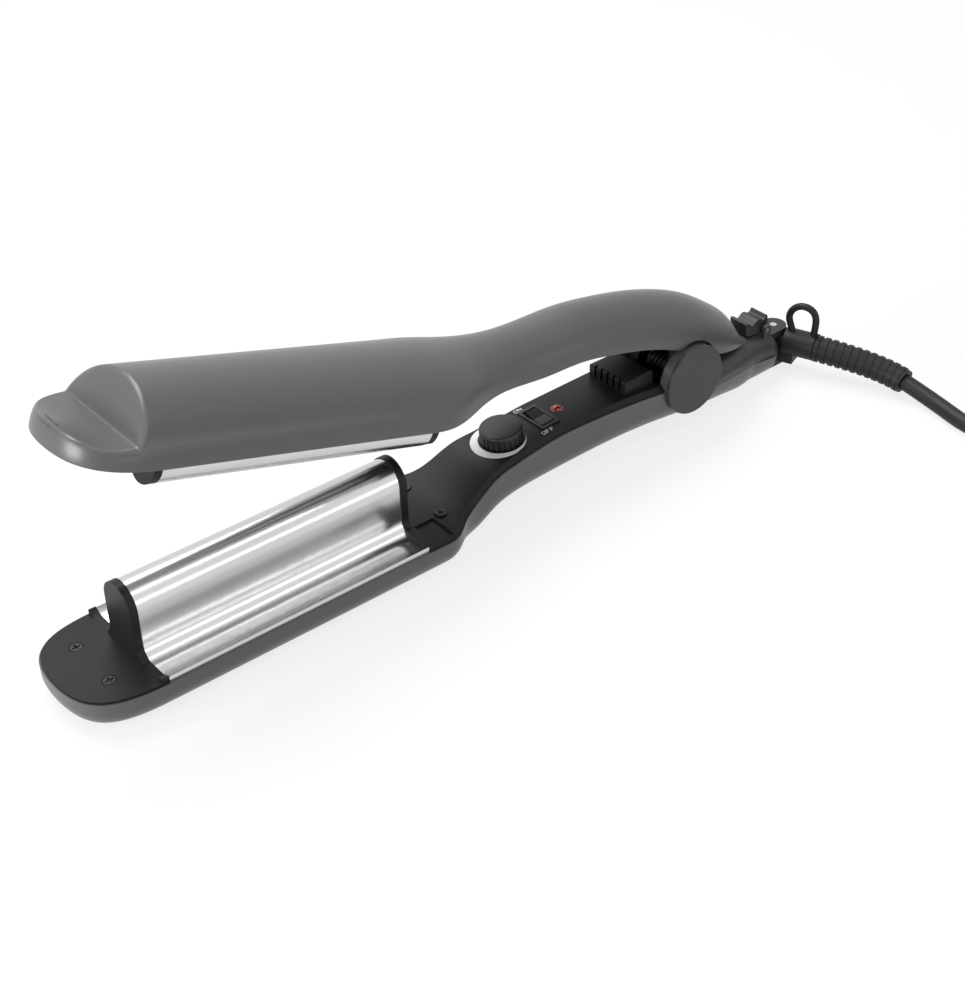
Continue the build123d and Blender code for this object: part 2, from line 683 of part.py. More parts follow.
with BuildPart() as lower_shell:
    add(lower_outer.part)
    add(lower_body(WALL, WALL + CORNER_STEP, RIDGE_HEIGHT), mode=Mode.SUBTRACT)
    add(lower_body(WALL + CORNER_STEP, WALL, RIDGE_HEIGHT), mode=Mode.SUBTRACT)
    add(posts.part)
    add(disc_y(HINGE_X, HINGE_Z, EAR_RADIUS, EAR_INNER, HINGE_HALF_WIDTH))
    add(disc_y(HINGE_X, HINGE_Z, EAR_RADIUS, -HINGE_HALF_WIDTH, -EAR_INNER))
    add(disc_y(HINGE_X, HINGE_Z, PIN_RADIUS + PIN_FIT, -TOP, TOP), mode=Mode.SUBTRACT)
    with Locations(*[(x, y, POST_TOP - SCREW_LENGTH) for x, y in cover_screw_places]):
        Cylinder(SCREW_RADIUS + PIN_FIT, TOP, align=BASE, mode=Mode.SUBTRACT)
    with Locations(*[(x, y, BOARD_TOP - BOARD_SCREW_LENGTH - SCREW_CLEARANCE)
                     for x, y in board_screw_places]):
        Cylinder(SCREW_RADIUS + PIN_FIT, TOP, align=BASE, mode=Mode.SUBTRACT)
    with Locations(*[(x, y, clamp_z + CORD_CLAMP_THICKNESS - SCREW_LENGTH - SCREW_CLEARANCE)
                     for x, y in clamp_screw_places]):
        Cylinder(SCREW_RADIUS + PIN_FIT, TOP, align=BASE, mode=Mode.SUBTRACT)
    add(spigot_bore, mode=Mode.SUBTRACT)
    add(
        rod((BARREL_END - WALL, 0, BARREL_Z), (-1, 0, 0), FLANGE_RADIUS + COLLAR_GAP, BEYOND),
        mode=Mode.SUBTRACT,
    )
write(lower_shell.part, "lower_shell")

# ---- Lower arm: covers ----------------------------------------------------------------------------
screw_holes = [(x, y, COVER_BOTTOM - BEYOND) for x, y in cover_screw_places]
nose_seat = HEAD_RIM + COVER_RISE - SCREW_HEAD_HEIGHT
neck_seat = HEAD_RIM + PANEL_RISE - SCREW_SLOT
nose_screw_places = [(x, y, nose_seat) for x, y in cover_screw_places[:2]]
neck_screw_places = [(x, y, neck_seat) for x, y in cover_screw_places[2:]]

with BuildPart() as lower_nose_cover:
    with BuildSketch(Plane.XY.offset(HEAD_RIM)):
        add(lower_plan(COVER_INSET))
    extrude(amount=COVER_RISE)
    with BuildSketch(Plane.XY.offset(COVER_BOTTOM)):
        add(lower_plan(WALL + COVER_FIT))
    extrude(amount=COVER_DEPTH)
    split(bisect_by=Plane.YZ.offset(-PLATE_END), keep=Keep.BOTTOM)
    with BuildSketch(Plane.YZ.offset(-PLATE_END - CHEEK_THICKNESS)):
        with BuildLine():
            edge = wave_line(CHEEK_PROUD, PLATE_HALF_WIDTH)
            Line(edge @ 1, (PLATE_HALF_WIDTH, HEAD_RIM))
            mirror(about=Plane.YZ)
            Line((PLATE_HALF_WIDTH, HEAD_RIM), (-PLATE_HALF_WIDTH, HEAD_RIM))
        make_face()
    extrude(amount=CHEEK_THICKNESS)
    with Locations(*screw_holes):
        Cylinder(SCREW_RADIUS + PIN_FIT, TOP, align=BASE, mode=Mode.SUBTRACT)
    with Locations(*nose_screw_places):
        Cylinder(SCREW_HEAD_RADIUS + SCREW_CLEARANCE, TOP, align=BASE, mode=Mode.SUBTRACT)
write(lower_nose_cover.part, "lower_nose_cover")

knob_plane = panel_spot(KNOB_AHEAD)
switch_plane = panel_spot(SWITCH_AHEAD)
lamp_plane = panel_spot(LAMP_AHEAD)
rest_start = PLATE_END + CHEEK_THICKNESS
rest_width = PLATE_HALF_WIDTH - RIDGE_HALF_WIDTH - CHEEK_THICKNESS - COVER_INSET

with BuildPart() as panel_hollow:
    add(panel_block(WALL + COVER_FIT + COVER_LIP, -COVER_DEPTH - BEYOND, PANEL_RISE - PANEL_WALL))
    split(bisect_by=Plane.YZ.offset(NECK_START + 0.6 * NECK_LENGTH), keep=Keep.TOP)

with BuildPart() as handle_cover:
    add(panel_block(COVER_INSET, 0, PANEL_RISE))
    top_faces = handle_cover.faces().filter_by(lambda f: f.normal_at(f.center()).Z > 0.8)
    chamfer(side_edges(top_faces), length=PANEL_ROUND)
    add(panel_block(WALL + COVER_FIT, -COVER_DEPTH, 0))
    with BuildSketch(Plane.YZ.offset(PLATE_END)):
        with BuildLine():
            edge = wave_line(CHEEK_PROUD, PLATE_HALF_WIDTH)
            Line(edge @ 1, (PLATE_HALF_WIDTH, HEAD_RIM))
            mirror(about=Plane.YZ)
            Line((PLATE_HALF_WIDTH, HEAD_RIM), (-PLATE_HALF_WIDTH, HEAD_RIM))
        make_face()
    extrude(amount=CHEEK_THICKNESS)
    add(panel_hollow.part, mode=Mode.SUBTRACT)
    for side in (-1, 1):
        with Locations((rest_start + REST_LENGTH / 2, side * (PLATE_HALF_WIDTH - rest_width / 2 - 1),
                        HEAD_RIM + PANEL_RISE - REST_DEPTH)):
            Box(REST_LENGTH - COVER_RISE, rest_width, TOP, align=BASE, mode=Mode.SUBTRACT)
    with Locations(*screw_holes):
        Cylinder(SCREW_RADIUS + PIN_FIT, TOP, align=BASE, mode=Mode.SUBTRACT)
    with Locations(*neck_screw_places):
        Cylinder(SCREW_HEAD_RADIUS + SCREW_CLEARANCE, TOP, align=BASE, mode=Mode.SUBTRACT)
    with Locations(knob_plane):
        Cylinder(SHAFT_RADIUS + SHAFT_CLEARANCE, 4 * BEYOND, mode=Mode.SUBTRACT)
    with BuildSketch(knob_plane):
        with Locations((-SCALE_OFFSET, 0)):
            Circle(SCALE_RADIUS)
        Circle(SCALE_HOLE, mode=Mode.SUBTRACT)
    extrude(amount=-SCALE_DEPTH, mode=Mode.SUBTRACT)
    with Locations(switch_plane):
        Box(SWITCH_WIDTH - SWITCH_STEP, SWITCH_LENGTH - SWITCH_STEP, 4 * BEYOND, mode=Mode.SUBTRACT)
    with Locations(lamp_plane):
        Cylinder(LAMP_RADIUS + PIN_FIT, 4 * BEYOND, mode=Mode.SUBTRACT)
write(handle_cover.part, "handle_cover")
write(screws(nose_screw_places, SCREW_LENGTH), "lower_nose_screws")
write(screws(neck_screw_places, SCREW_LENGTH), "lower_neck_screws")

with BuildPart() as barrel_cover:
    add(barrel_body())
    for near in (LOCK_WIDTH / 2 + LOCK_CLEARANCE, -LOCK_WIDTH / 2 - LOCK_CLEARANCE - LUG_THICKNESS):
        add(disc_y(LOCK_X, LOCK_Z, LUG_RADIUS, near, near + LUG_THICKNESS))
        with Locations((LOCK_X, near + LUG_THICKNESS / 2, LOCK_Z)):
            Box(2 * LUG_RADIUS, LUG_THICKNESS, LOCK_PIVOT_RISE - BARREL_RADIUS / 2, align=HANG)
    add(barrel_body(WALL, BEYOND, BEYOND), mode=Mode.SUBTRACT)
    add(disc_y(LOCK_X, LOCK_Z, LOCK_PIN_RADIUS + PIN_FIT, -TOP, TOP), mode=Mode.SUBTRACT)
    add(spigot_bore, mode=Mode.SUBTRACT)
write(barrel_cover.part, "barrel_cover")

# ---- Lower arm: plate and what heats it -------------------------------------------------------------
with BuildPart() as lower_plate:
    with BuildSketch(Plane.YZ.offset(-PLATE_END)):
        with BuildLine():
            edge = wave_line(0, PLATE_HALF_WIDTH)
            lip = Polyline(edge @ 1, (PLATE_HALF_WIDTH, HEAD_RIM), (PLATE_HALF_WIDTH - PLATE_WALL, HEAD_RIM))
            inner = wave_line(-PLATE_WALL, PLATE_HALF_WIDTH - PLATE_WALL)
            Line(lip @ 1, inner @ 1)
            mirror(about=Plane.YZ)
        make_face()
    extrude(amount=PLATE_LENGTH)
write(lower_plate.part, "lower_plate")

heater_half = RIDGE_HALF_WIDTH - PLATE_WALL - HEATER_FIT
heater_bottom = HEATER_TOP - HEATER_HEIGHT
with BuildPart() as lower_heater:
    with Locations((0, 0, heater_bottom)):
        Box(HEATER_LENGTH, 2 * heater_half, HEATER_HEIGHT, align=BASE)
write(lower_heater.part, "lower_heater")

with BuildPart() as lower_heater_clamps:
    for x in (-CLAMP_SPREAD / 2, CLAMP_SPREAD / 2):
        with Locations((x, 0, heater_bottom)):
            Box(CLAMP_WIDTH, 2 * heater_half, CLAMP_THICKNESS, align=HANG)
        for side in (-1, 1):
            with Locations((x, side * (heater_half - CLAMP_THICKNESS / 2), WALL)):
                Box(CLAMP_WIDTH, CLAMP_THICKNESS, heater_bottom - WALL, align=BASE)
            with Locations((x, side * (heater_half + CLAMP_FOOT / 2 - CLAMP_THICKNESS), WALL)):
                Box(CLAMP_WIDTH, CLAMP_FOOT, CLAMP_THICKNESS, align=BASE)
write(lower_heater_clamps.part, "lower_heater_clamps")
sensor_place = (SENSOR_LENGTH, heater_half / 2, heater_bottom - SENSOR_RADIUS)
write(rod(sensor_place, (1, 0, 0), SENSOR_RADIUS, SENSOR_LENGTH), "lower_sensor")
fuse_place = (-FUSE_LENGTH, -heater_half / 2, heater_bottom - FUSE_RADIUS)
write(rod(fuse_place, (1, 0, 0), FUSE_RADIUS, FUSE_LENGTH), "thermal_fuse")

# ---- Lower arm: electronics -------------------------------------------------------------------------
with BuildPart() as control_board:
    with Locations((BOARD_X, 0, BOARD_Z)):
        Box(BOARD_LENGTH, BOARD_WIDTH, BOARD_THICKNESS, align=BASE)
    with Locations(*[(x, y, BOARD_Z) for x, y in board_screw_places]):
        Cylinder(SCREW_RADIUS + PIN_FIT, TOP, mode=Mode.SUBTRACT)
write(control_board.part, "control_board")
write(screws([(x, y, BOARD_TOP) for x, y in board_screw_places], BOARD_SCREW_LENGTH), "board_screws")

pot_top = -PANEL_WALL - COVER_FIT
with BuildPart() as potentiometer:
    with Locations(knob_plane.offset(pot_top)):
        Cylinder(POT_RADIUS, POT_HEIGHT, align=HANG)
    with Locations((HINGE_X - KNOB_AHEAD, 0, BOARD_TOP)):
        Box(POT_FOOT, POT_FOOT, knob_plane.origin.Z + pot_top - POT_HEIGHT / 2 - BOARD_TOP, align=BASE)
    with Locations(knob_plane):
        Cylinder(SHAFT_RADIUS + PIN_FIT, 2 * (POT_HEIGHT - WIRE_RADIUS - pot_top), mode=Mode.SUBTRACT)
write(potentiometer.part, "potentiometer")

with BuildPart() as dial_shaft:
    with Locations(knob_plane.offset(KNOB_CLEARANCE)):
        Cylinder(SHAFT_RADIUS, KNOB_CLEARANCE + POT_HEIGHT - 2 * WIRE_RADIUS - pot_top, align=HANG)
write(dial_shaft.part, "dial_shaft")

with BuildPart() as knob:
    with Locations(knob_plane.offset(KNOB_CLEARANCE)):
        Cylinder(KNOB_RADIUS, KNOB_HEIGHT, align=BASE)
    fillet(knob.edges().filter_by(GeomType.CIRCLE).sort_by(Axis.Z)[-1], radius=KNOB_ROUND)
    with Locations(knob_plane.offset(KNOB_CLEARANCE)):
        with PolarLocations(KNOB_RADIUS, KNOB_RIBS):
            Cylinder(KNOB_GROOVE, 2 * KNOB_GROOVE_TOP, mode=Mode.SUBTRACT)
write(knob.part, "knob")

with BuildPart() as dial_scale:
    with BuildSketch(knob_plane.offset(-SCALE_DEPTH)):
        with Locations((-SCALE_OFFSET, 0)):
            Circle(SCALE_RADIUS)
        Circle(SCALE_HOLE, mode=Mode.SUBTRACT)
    extrude(amount=SCALE_THICKNESS)
write(dial_scale.part, "dial_scale")

pocket_length = SWITCH_LENGTH - 2 * SWITCH_WALL
pocket_width = SWITCH_WIDTH - 2 * SWITCH_WALL
rocker_width = pocket_width - 2 * ROCKER_CLEARANCE
rocker_radius = pocket_length / 2 - ROCKER_CLEARANCE
with BuildPart() as switch_housing:
    with Locations(switch_plane):
        Box(SWITCH_WIDTH, SWITCH_LENGTH, BEZEL_RISE, align=BASE)
        Box(SWITCH_WIDTH - 2 * SWITCH_STEP, SWITCH_LENGTH - 2 * SWITCH_STEP, SWITCH_DEPTH, align=HANG)
    with Locations(switch_plane.offset(SWITCH_WALL - SWITCH_DEPTH)):
        Box(pocket_width, pocket_length, TOP, align=BASE, mode=Mode.SUBTRACT)
    with Locations(switch_plane.offset(-ROCKER_PIVOT)):
        Cylinder(TRUNNION_RADIUS + PIN_FIT, SWITCH_WIDTH + 1, rotation=(0, 90, 0), mode=Mode.SUBTRACT)
write(switch_housing.part, "switch_housing")

# The rocker is drawn on the plane across the switch and turned about its trunnions to its rest.
rocker_top = ROCKER_PIVOT + ROCKER_RISE
across = Plane(switch_plane.offset(-ROCKER_PIVOT).origin - switch_plane.x_dir * (rocker_width / 2),
               x_dir=(0, 1, 0), z_dir=switch_plane.x_dir)
with BuildPart() as rocker:
    with BuildSketch(across):
        Circle(rocker_radius)
        with BuildLine():
            Polyline(
                (-TOP, -ROCKER_DEPTH),
                (TOP, -ROCKER_DEPTH),
                (TOP, rocker_top + TOP * tan(radians(ROCKER_TILT))),
                (0, rocker_top),
                (-TOP, rocker_top + TOP * tan(radians(ROCKER_TILT))),
                (-TOP, -ROCKER_DEPTH),
            )
        make_face(mode=Mode.INTERSECT)
    extrude(amount=rocker_width)
    with Locations(switch_plane.offset(-ROCKER_PIVOT)):
        Cylinder(TRUNNION_RADIUS, rocker_width + 2 * ROCKER_CLEARANCE + SWITCH_WALL, rotation=(0, 90, 0))
rocker_axis = Axis(switch_plane.offset(-ROCKER_PIVOT).origin, switch_plane.x_dir)
write(rocker.part.rotate(rocker_axis, ROCKER_TILT), "rocker")

with BuildPart() as lamp_lens:
    with Locations(lamp_plane):
        Cylinder(LAMP_RADIUS, LAMP_DEPTH, align=HANG)
    with Locations(lamp_plane.offset(-PANEL_WALL - COVER_FIT)):
        Cylinder(LAMP_RADIUS + LAMP_FLANGE, LAMP_FLANGE, align=HANG)
    with Locations(lamp_plane.offset(LAMP_RISE - LAMP_RADIUS)):
        Sphere(LAMP_RADIUS)
write(lamp_lens.part, "lamp_lens")

with BuildPart() as indicator_led:
    with Locations((HINGE_X - LAMP_AHEAD, 0, BOARD_TOP)):
        Cylinder(LED_RADIUS, LED_HEIGHT, align=BASE)
        Cylinder(LED_RADIUS + LED_FLANGE, LED_RADIUS, align=BASE)
    with Locations((HINGE_X - LAMP_AHEAD, 0, BOARD_TOP + LED_HEIGHT)):
        Sphere(LED_RADIUS)
write(indicator_led.part, "indicator_led")

with BuildPart() as lower_heater_wires:
    for side in (-1, 1):
        y = side * WIRE_SPREAD / 2
        add(wire(
            [
                (HEATER_LENGTH / 2, y, heater_bottom + WIRE_RADIUS),
                (PLATE_END - WIRE_DOWN, y, heater_bottom + WIRE_RADIUS),
                (PLATE_END - WIRE_DOWN, y, COVER_BOTTOM - WIRE_LOW),
                (NECK_END - WIRE_STEP, y, COVER_BOTTOM - WIRE_LOW),
                (BOARD_X - BOARD_LENGTH / 2 - WIRE_STEP, y, BOARD_TOP + WIRE_RADIUS),
                (BOARD_X - BOARD_LENGTH / 2 + WIRE_LAP, y, BOARD_TOP + WIRE_RADIUS),
            ],
            WIRE_RADIUS * 2, WIRE_RADIUS,
        ))
write(lower_heater_wires.part, "lower_heater_wires")

with BuildPart() as mains_wires:
    for side in (-1, 1):
        y = side * (WIRE_RADIUS + COVER_FIT)
        add(wire(
            [
                (BARREL_END - BEYOND, y, BARREL_Z),
                (clamp_x, y, BARREL_Z),
                (BARREL_START, y, BARREL_Z + 2 * WIRE_RADIUS),
                (BOARD_X + BOARD_LENGTH / 2 + MAINS_SLOPE, y, BARREL_Z + 2 * WIRE_RADIUS),
                (BOARD_X + BOARD_LENGTH / 2 + MAINS_LAP, y, BOARD_TOP + WIRE_RADIUS),
                (BOARD_X + BOARD_LENGTH / 2 - MAINS_LAP, y, BOARD_TOP + WIRE_RADIUS),
            ],
            WIRE_RADIUS * 2, WIRE_RADIUS,
        ))
write(mains_wires.part, "mains_wires")

with BuildPart() as cord_clamp:
    with Locations((clamp_x, 0, clamp_z)):
        Box(CORD_CLAMP_WIDTH, CORD_CLAMP_SPREAD + 2 * CORD_CLAMP_POST, CORD_CLAMP_THICKNESS, align=BASE)
    with Locations(*[(x, y, clamp_z) for x, y in clamp_screw_places]):
        Cylinder(SCREW_RADIUS + PIN_FIT, TOP, mode=Mode.SUBTRACT)
write(cord_clamp.part, "cord_clamp")
write(screws([(x, y, clamp_z + CORD_CLAMP_THICKNESS) for x, y in clamp_screw_places], SCREW_LENGTH),
      "cord_clamp_screws")

# ---- Hinge ------------------------------------------------------------------------------------------
write(disc_y(HINGE_X, HINGE_Z, PIN_RADIUS, -PIN_END, PIN_END), "hinge_pin")

with BuildPart() as hinge_cap:
    add(disc_y(HINGE_X, HINGE_Z, CAP_RADIUS, HINGE_HALF_WIDTH, HINGE_HALF_WIDTH + CAP_THICKNESS))
    fillet(hinge_cap.edges().sort_by(Axis.Y)[-1], radius=CAP_ROUND)
    add(disc_y(HINGE_X, HINGE_Z, PIN_RADIUS - PIN_FIT, HINGE_HALF_WIDTH - CAP_SPIGOT, HINGE_HALF_WIDTH))
write(hinge_cap.part, "hinge_cap_left")
write(mirror(hinge_cap.part, about=Plane.XZ), "hinge_cap_right")

# The spring is drawn standing at the origin and laid between the knuckles.
spring_turns = SPRING_COILS + (180 - OPEN_ANGLE) / 360
spring_width = SPRING_PITCH * spring_turns
with BuildPart() as spring_drawn:
    with BuildLine():
        coil = Helix(SPRING_PITCH, spring_width, SPRING_RADIUS, lefthand=True)
    with BuildSketch(Plane(coil @ 0, z_dir=coil % 0)):
        Circle(SPRING_WIRE)
    sweep()
    add(rod(coil @ 0, (coil % 0) * -1, SPRING_WIRE, SPRING_LEG))
    add(rod(coil @ 1, coil % 1, SPRING_WIRE, SPRING_LEG))
spring_place = Plane((HINGE_X, -spring_width / 2, HINGE_Z), x_dir=(0, 0, -1), z_dir=(0, 1, 0))
torsion_spring = spring_drawn.part.moved(spring_place.location)
write(torsion_spring, "torsion_spring")

block_z = HANDLE_RIM + PANEL_RISE
with BuildPart() as spring_block:
    with Locations((HINGE_X - BLOCK_START + BLOCK_LENGTH / 2, 0, block_z - PANEL_ROUND)):
        Box(BLOCK_LENGTH, BLOCK_WIDTH, BLOCK_HEIGHT, align=BASE)
    fillet(spring_block.faces().sort_by(Axis.Z)[-1].edges(), radius=BLOCK_ROUND)
    groove_pitch = BLOCK_WIDTH / (BLOCK_GROOVES + 1)
    with Locations(*[(HINGE_X - BLOCK_START, (i + 1) * groove_pitch - BLOCK_WIDTH / 2, block_z)
                     for i in range(BLOCK_GROOVES)]):
        Box(2 * BLOCK_GROOVE_DEPTH, BLOCK_GROOVE_DEPTH, TOP, align=BASE, mode=Mode.SUBTRACT)
    add(handle_cover.part, mode=Mode.SUBTRACT)
    add(panel_block(0, -BEYOND, PANEL_RISE), mode=Mode.SUBTRACT)
write(spring_block.part, "spring_block")

# ---- Upper arm --------------------------------------------------------------------------------------
upper_outer = upper_body()
upper_inside = upper_body(UPPER_WALL + UPPER_COVER_FIT)
with BuildPart() as upper_shell:
    add(upper_outer)
    add(upper_body(UPPER_WALL, BEYOND), mode=Mode.SUBTRACT)
    add(disc_y(HINGE_X, HINGE_Z, EAR_RADIUS + NOTCH_CLEARANCE, -TOP, TOP), mode=Mode.SUBTRACT)
write_open(upper_shell.part, "upper_shell")

with BuildPart() as upper_plate:
    with BuildSketch(Plane.YZ.offset(-PLATE_END)):
        with BuildLine():
            outside = arch_line(PLATE_GAP)
            inside = arch_line(PLATE_GAP + PLATE_WALL)
            Line(outside @ 1, inside @ 1)
            mirror(about=Plane.YZ)
        make_face()
    extrude(amount=PLATE_LENGTH)
write_open(upper_plate.part, "upper_plate")


def cheek_block(start, end, floor=0.0):
    """End wall of the upper plate between two places, from floor up into the shell."""
    with BuildPart() as room:
        add(upper_inside)
        with Locations(((start + end) / 2, 0, UPPER_RIM)):
            Box(end - start, 2 * UPPER_PLATE_EDGE, UPPER_RIM - floor, align=HANG)
            Box(end - start, 2 * UPPER_PLATE_EDGE, PLATE_SIDE, align=BASE)
    with BuildPart() as cheek:
        with BuildSketch(Plane.YZ.offset(start)):
            with BuildLine():
                arch = arch_line(PLATE_GAP)
                Polyline(arch @ 1, (UPPER_PLATE_EDGE, TOP), (0, TOP), (0, CREST_Z + PLATE_GAP))
            make_face()
            mirror(about=Plane.YZ)
        extrude(amount=end - start)
        add(room.part, mode=Mode.INTERSECT)
    return cheek.part


def cut_arch(start, end):
    """Room for the ridge of the lower arm between two places."""
    with BuildPart() as room:
        with BuildSketch(Plane.YZ.offset(start)):
            half_width = RIDGE_HALF_WIDTH + PLATE_GAP
            Rectangle(2 * half_width, CREST_Z - RIDGE_HALF_WIDTH, align=(Align.CENTER, Align.MIN))
            with Locations((0, CREST_Z - RIDGE_HALF_WIDTH)):
                Circle(half_width)
        extrude(amount=end - start)
    return room.part


pocket_end = PLATE_END + CHEEK_THICKNESS + CHEEK_POCKET
bulkhead_half = RIDGE_HALF_WIDTH + PLATE_GAP + PLATE_WALL
with BuildPart() as upper_nose_cover:
    with Locations((-PLATE_END, 0, UPPER_RIM)):
        Box(NOSE_REACH, TOP, UNDERSIDE_WALL, align=(Align.MAX, Align.CENTER, Align.MIN))
    with Locations((-pocket_end, 0, UPPER_RIM)):
        Box(PLATE_WALL, 2 * bulkhead_half, CREST_Z - UPPER_RIM, align=(Align.MAX, Align.CENTER, Align.MIN))
    add(upper_inside, mode=Mode.INTERSECT)
    add(cheek_block(-PLATE_END - CHEEK_THICKNESS, -PLATE_END))
    add(cut_arch(-pocket_end, -PLATE_END), mode=Mode.SUBTRACT)
write_open(upper_nose_cover.part, "upper_nose_cover")

knuckle_web_top = UPPER_RIM + UNDERSIDE_LINE[-2][1] + UNDERSIDE_WALL / 2
knuckle_sides = (EAR_INNER - SIDE_CLEARANCE - KNUCKLE_WIDTH, -EAR_INNER + SIDE_CLEARANCE)
with BuildPart() as upper_inner_cover:
    with BuildSketch(Plane.XZ):
        with BuildLine():
            under_places = [(upper_x(share), UPPER_RIM + rise) for share, rise in UNDERSIDE_LINE]
            under = Spline(*under_places)
            over = Spline(*[(x, z + UNDERSIDE_WALL) for x, z in under_places])
            Line(under @ 0, over @ 0)
            Line(under @ 1, over @ 1)
        make_face()
    extrude(amount=TOP, both=True)
    with Locations((pocket_end, 0, UPPER_RIM + UNDERSIDE_WALL)):
        Box(PLATE_WALL, 2 * bulkhead_half, CREST_Z - UPPER_RIM, align=(Align.MIN, Align.CENTER, Align.MIN))
    add(upper_inside, mode=Mode.INTERSECT)
    add(cheek_block(PLATE_END, PLATE_END + CHEEK_THICKNESS, HEAD_RIM + PANEL_RISE + CHEEK_CLEARANCE))
    add(cut_arch(PLATE_END, pocket_end), mode=Mode.SUBTRACT)
    for near in knuckle_sides:
        far = near + KNUCKLE_WIDTH
        add(disc_y(HINGE_X, HINGE_Z, KNUCKLE_RADIUS, near, far))
        with Locations((HINGE_X, (near + far) / 2, HINGE_Z)):
            Box(KNUCKLE_WEB, KNUCKLE_WIDTH - 3 * SIDE_CLEARANCE, knuckle_web_top - HINGE_Z, align=BASE)
    add(disc_y(HINGE_X, HINGE_Z, BUSH_RADIUS + PIN_FIT, -TOP, TOP), mode=Mode.SUBTRACT)
    for side in (-1, 1):
        add(rod((PLATE_END - 1, side * (TROUGH_Y - 1), UPPER_HEATER_TOP + WIRE_RADIUS), (1, 0, 0),
                WIRE_RADIUS + COVER_FIT, CHEEK_THICKNESS + 2), mode=Mode.SUBTRACT)
write_open(upper_inner_cover.part, "upper_inner_cover")

with BuildPart() as hinge_bushes:
    for near in knuckle_sides:
        add(disc_y(HINGE_X, HINGE_Z, BUSH_RADIUS, near, near + KNUCKLE_WIDTH))
    add(disc_y(HINGE_X, HINGE_Z, PIN_RADIUS + PIN_FIT, -TOP, TOP), mode=Mode.SUBTRACT)
write_open(hinge_bushes.part, "hinge_bushes")

upper_heater_y = TROUGH_Y + HEATER_FIT
upper_heater_places = [(0, -upper_heater_y, UPPER_HEATER_TOP), (0, upper_heater_y, UPPER_HEATER_TOP)]
with BuildPart() as upper_heaters:
    with Locations(*upper_heater_places):
        Box(HEATER_LENGTH, UPPER_HEATER_WIDTH, HEATER_HEIGHT, align=HANG)
write_open(upper_heaters.part, "upper_heaters")

with BuildPart() as upper_heater_springs:
    for side in (-1, 1):
        web_y = side * (upper_heater_y - UPPER_HEATER_WIDTH / 2 + SPRING_CLAMP_INSET)
        strap_y = side * (upper_heater_y - SPRING_CLAMP_INSET)
        for x in (-CLAMP_SPREAD / 2, CLAMP_SPREAD / 2):
            with Locations((x, strap_y, UPPER_HEATER_TOP),
                           (x, strap_y, UPPER_HEATER_TOP + SPRING_CLAMP_HEIGHT - CLAMP_THICKNESS)):
                Box(CLAMP_WIDTH, UPPER_HEATER_WIDTH - SPRING_CLAMP_STEP, CLAMP_THICKNESS, align=BASE)
            with Locations((x, web_y, UPPER_HEATER_TOP)):
                Box(CLAMP_WIDTH, CLAMP_THICKNESS, SPRING_CLAMP_HEIGHT, align=BASE)
write_open(upper_heater_springs.part, "upper_heater_springs")
write_open(rod((-SENSOR_LENGTH / 2, TROUGH_Y, UPPER_HEATER_TOP + SENSOR_RADIUS), (1, 0, 0), SENSOR_RADIUS,
               SENSOR_LENGTH), "upper_sensor")

with BuildPart() as upper_heater_wires:
    for side in (-1, 1):
        add(wire(
            [
                (HEATER_LENGTH / 2 - WIRE_BEND, side * (TROUGH_Y - 1), UPPER_HEATER_TOP + WIRE_RADIUS),
                (PLATE_END + WIRE_SPREAD, side * (TROUGH_Y - 1), UPPER_HEATER_TOP + WIRE_RADIUS),
                (NECK_END - WIRE_LOW, side * WIRE_SPREAD, UPPER_RIM + UPPER_WIRE_START),
                *[(upper_x(share), side * WIRE_SPREAD, UPPER_RIM + rise) for share, rise in UPPER_WIRE_LINE],
            ],
            WIRE_BEND, WIRE_RADIUS,
        ))
write_open(upper_heater_wires.part, "upper_heater_wires")

# ---- Lock on the barrel ---------------------------------------------------------------------------
lock_tip = LOCK_X - LOCK_LENGTH
lock_foot = LOCK_Z - LOCK_CLEARANCE
with BuildPart() as lock_lever:
    with BuildSketch(Plane.XZ.offset(-LOCK_WIDTH / 2)):
        with BuildLine():
            front = Line((lock_tip + 1.0, lock_foot), (lock_tip, lock_foot + LOCK_HEIGHT))
            crest = Spline(
                front @ 1,
                (lock_tip + 1.2, lock_foot + LOCK_HEIGHT + 0.4),
                (lock_tip + 0.37 * LOCK_LENGTH, lock_foot + LOCK_HEIGHT - LOCK_DIP),
                (lock_tip + 0.66 * LOCK_LENGTH, lock_foot + LOCK_HEIGHT),
                (LOCK_X, lock_foot + 0.8 * LOCK_HEIGHT),
                (LOCK_X + LOCK_HEEL, LOCK_Z),
                tangents=[(0.3, 1), (0, -1)],
            )
            heel = RadiusArc(crest @ 1, (LOCK_X, LOCK_Z - LOCK_HEEL), LOCK_HEEL)
            Line(heel @ 1, front @ 0)
        make_face()
    extrude(amount=LOCK_WIDTH)
    add(disc_y(LOCK_X, LOCK_Z, LOCK_PIN_RADIUS + PIN_FIT, -TOP, TOP), mode=Mode.SUBTRACT)
write(lock_lever.part, "lock_lever")
lock_pin_end = LOCK_WIDTH / 2 + LOCK_CLEARANCE + LUG_THICKNESS
write(disc_y(LOCK_X, LOCK_Z, LOCK_PIN_RADIUS, -lock_pin_end, lock_pin_end), "lock_pin")

